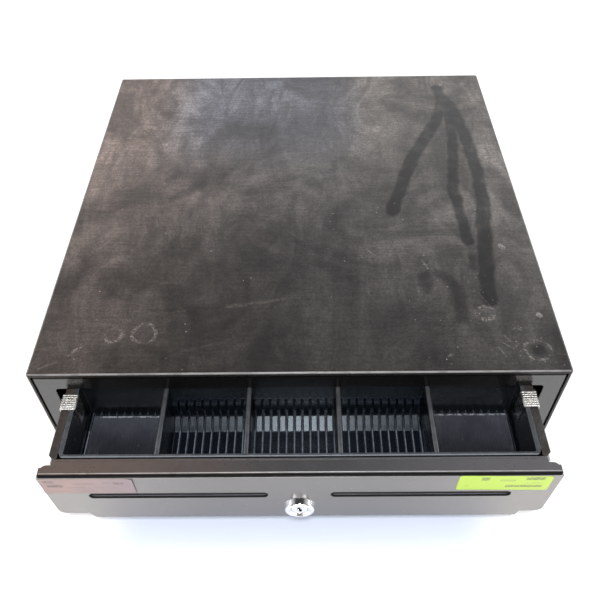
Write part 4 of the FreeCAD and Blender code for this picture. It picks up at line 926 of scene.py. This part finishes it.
def make_floor():
    """A plain pale sheet, gently uneven far out so that it has no hard line, with a painted bluish
    shadow just in front of the drawer.
    """
    mesh = bpy.data.meshes.new("floor")
    bm = bmesh.new()
    bmesh.ops.create_grid(bm, x_segments=24, y_segments=24, size=FLOOR_HALF)
    bm.to_mesh(mesh)
    bm.free()
    floor = add_object("floor", mesh)
    s = Surface("floor_paper")
    tone = s.noise(0.4, 3.0, 0.5)
    paper = s.mix(tone, (0.86, 0.86, 0.865), (0.90, 0.90, 0.905))
    x, y, _ = s.axes(s.place)
    # Painted shadow: the paper turns bluish just in front of the drawer, fading out to the sides
    # and back.
    near = s.math("MULTIPLY", s.step(y, panel_low.y - 0.045, panel_low.y - 0.004),
                  s.step(s.math("ABSOLUTE", x), 0.18, 0.12))
    near = s.math("MULTIPLY", near, s.step(y, panel_low.y + 0.15, panel_low.y + 0.05))
    s.shade(Base_Color=s.mix(near, paper, (0.60, 0.66, 0.80)), Roughness=0.7,
            Normal=s.bump(s.noise(0.001, 2.0), 0.00003))
    mesh.materials.append(s.material)


# The room's brightness at each height, from level (0) to straight up (1).
SKY = [(0.0, 3.0), (0.38, 2.3), (0.5, 1.15), (0.64, 0.85),
       (0.76, 0.72), (0.83, 0.36), (0.88, 0.10), (1.0, 0.07)]
SKY_PEAK = 3.0


def make_world():
    """Soft light from all round: brightest behind and to the sides, dim in front."""
    world = bpy.data.worlds.new("soft_room")
    bpy.context.scene.world = world
    world.use_nodes = True
    nodes, links = world.node_tree.nodes, world.node_tree.links
    background = nodes["Background"]
    away = nodes.new("ShaderNodeTexCoord").outputs["Generated"]
    xyz = nodes.new("ShaderNodeSeparateXYZ")
    links.new(away, xyz.inputs[0])

    def number(kind, a, b):
        node = nodes.new("ShaderNodeMath")
        node.operation = kind
        for socket, value in zip(node.inputs, (a, b)):
            if isinstance(value, float):
                socket.default_value = value
            else:
                links.new(value, socket)
        return node.outputs[0]

    def fade(value, start, end, low, high):
        node = nodes.new("ShaderNodeMapRange")
        node.interpolation_type = "SMOOTHSTEP"
        links.new(value, node.inputs[0])
        for socket, limit in zip(node.inputs[1:5], (start, end, low, high)):
            socket.default_value = limit
        return node.outputs[0]

    height = nodes.new("ShaderNodeValToRGB")
    links.new(xyz.outputs[2], height.inputs[0])
    ramp = height.color_ramp.elements
    while len(ramp) < len(SKY):
        ramp.new(0.5)
    for element, (place, brightness) in zip(ramp, SKY):
        element.position = place
        grey = brightness / SKY_PEAK
        element.color = (grey, grey, grey, 1.0)
    level = number("MULTIPLY", height.outputs[0], SKY_PEAK)

    aside = number("ABSOLUTE", xyz.outputs[0], 0.0)
    sides = number("MULTIPLY", aside, fade(xyz.outputs[2], 0.1, 0.4, 2.8, 0.15))
    level = number("ADD", level, sides)
    level = number("MULTIPLY", level, fade(xyz.outputs[1], -0.3, 0.2, 0.10, 1.0))
    seen = nodes.new("ShaderNodeLightPath").outputs["Is Camera Ray"]
    strength = nodes.new("ShaderNodeMix")
    links.new(seen, strength.inputs[0])
    links.new(level, strength.inputs[2])
    strength.inputs[3].default_value = 1.0
    links.new(strength.outputs[0], background.inputs["Strength"])
    background.inputs["Color"].default_value = (0.96, 0.98, 1.0, 1.0)


def make_softbox(name, place, size, power):
    """A large soft lamp aimed at the middle of the floor."""
    light = bpy.data.lights.new(name, "AREA")
    light.shape = "RECTANGLE"
    light.size, light.size_y = size
    light.energy = power
    light.color = (1.0, 0.985, 0.96)
    lamp = add_object(name, light)
    lamp.location = place
    lamp.rotation_euler = (-Vector(place)).to_track_quat("-Z", "Y").to_euler()


CAMERA_PLACE = Vector((0.0064, cover_low.y - 0.2972, 0.5136))
CAMERA_DOWN = math.radians(48.155)
CAMERA_TURN = math.radians(0.814)
CAMERA_ROLL = math.radians(-1.116)
SENSOR = 36.0
LENS = 40.8


def make_camera():
    """Looks down at the open drawer from just in front of it."""
    data = bpy.data.cameras.new("camera")
    data.sensor_width = SENSOR
    data.lens = LENS
    data.clip_start = 0.01
    camera = add_object("camera", data)
    bpy.context.scene.camera = camera
    turn = Matrix.Rotation(CAMERA_TURN, 4, "Z")
    tilt = Matrix.Rotation(math.pi / 2 - CAMERA_DOWN, 4, "X")
    roll = Matrix.Rotation(CAMERA_ROLL, 4, "Z")
    camera.matrix_world = Matrix.Translation(CAMERA_PLACE) @ turn @ tilt @ roll


make_floor()
make_world()
make_softbox("key_softbox", (0.0, -1.1, 2.1), (0.26, 0.6), 57.0)
make_softbox("low_strip", (0.0, -2.2, 0.9), (3.4, 0.35), 25.0)
make_camera()
bpy.context.scene.view_settings.view_transform = "Standard"
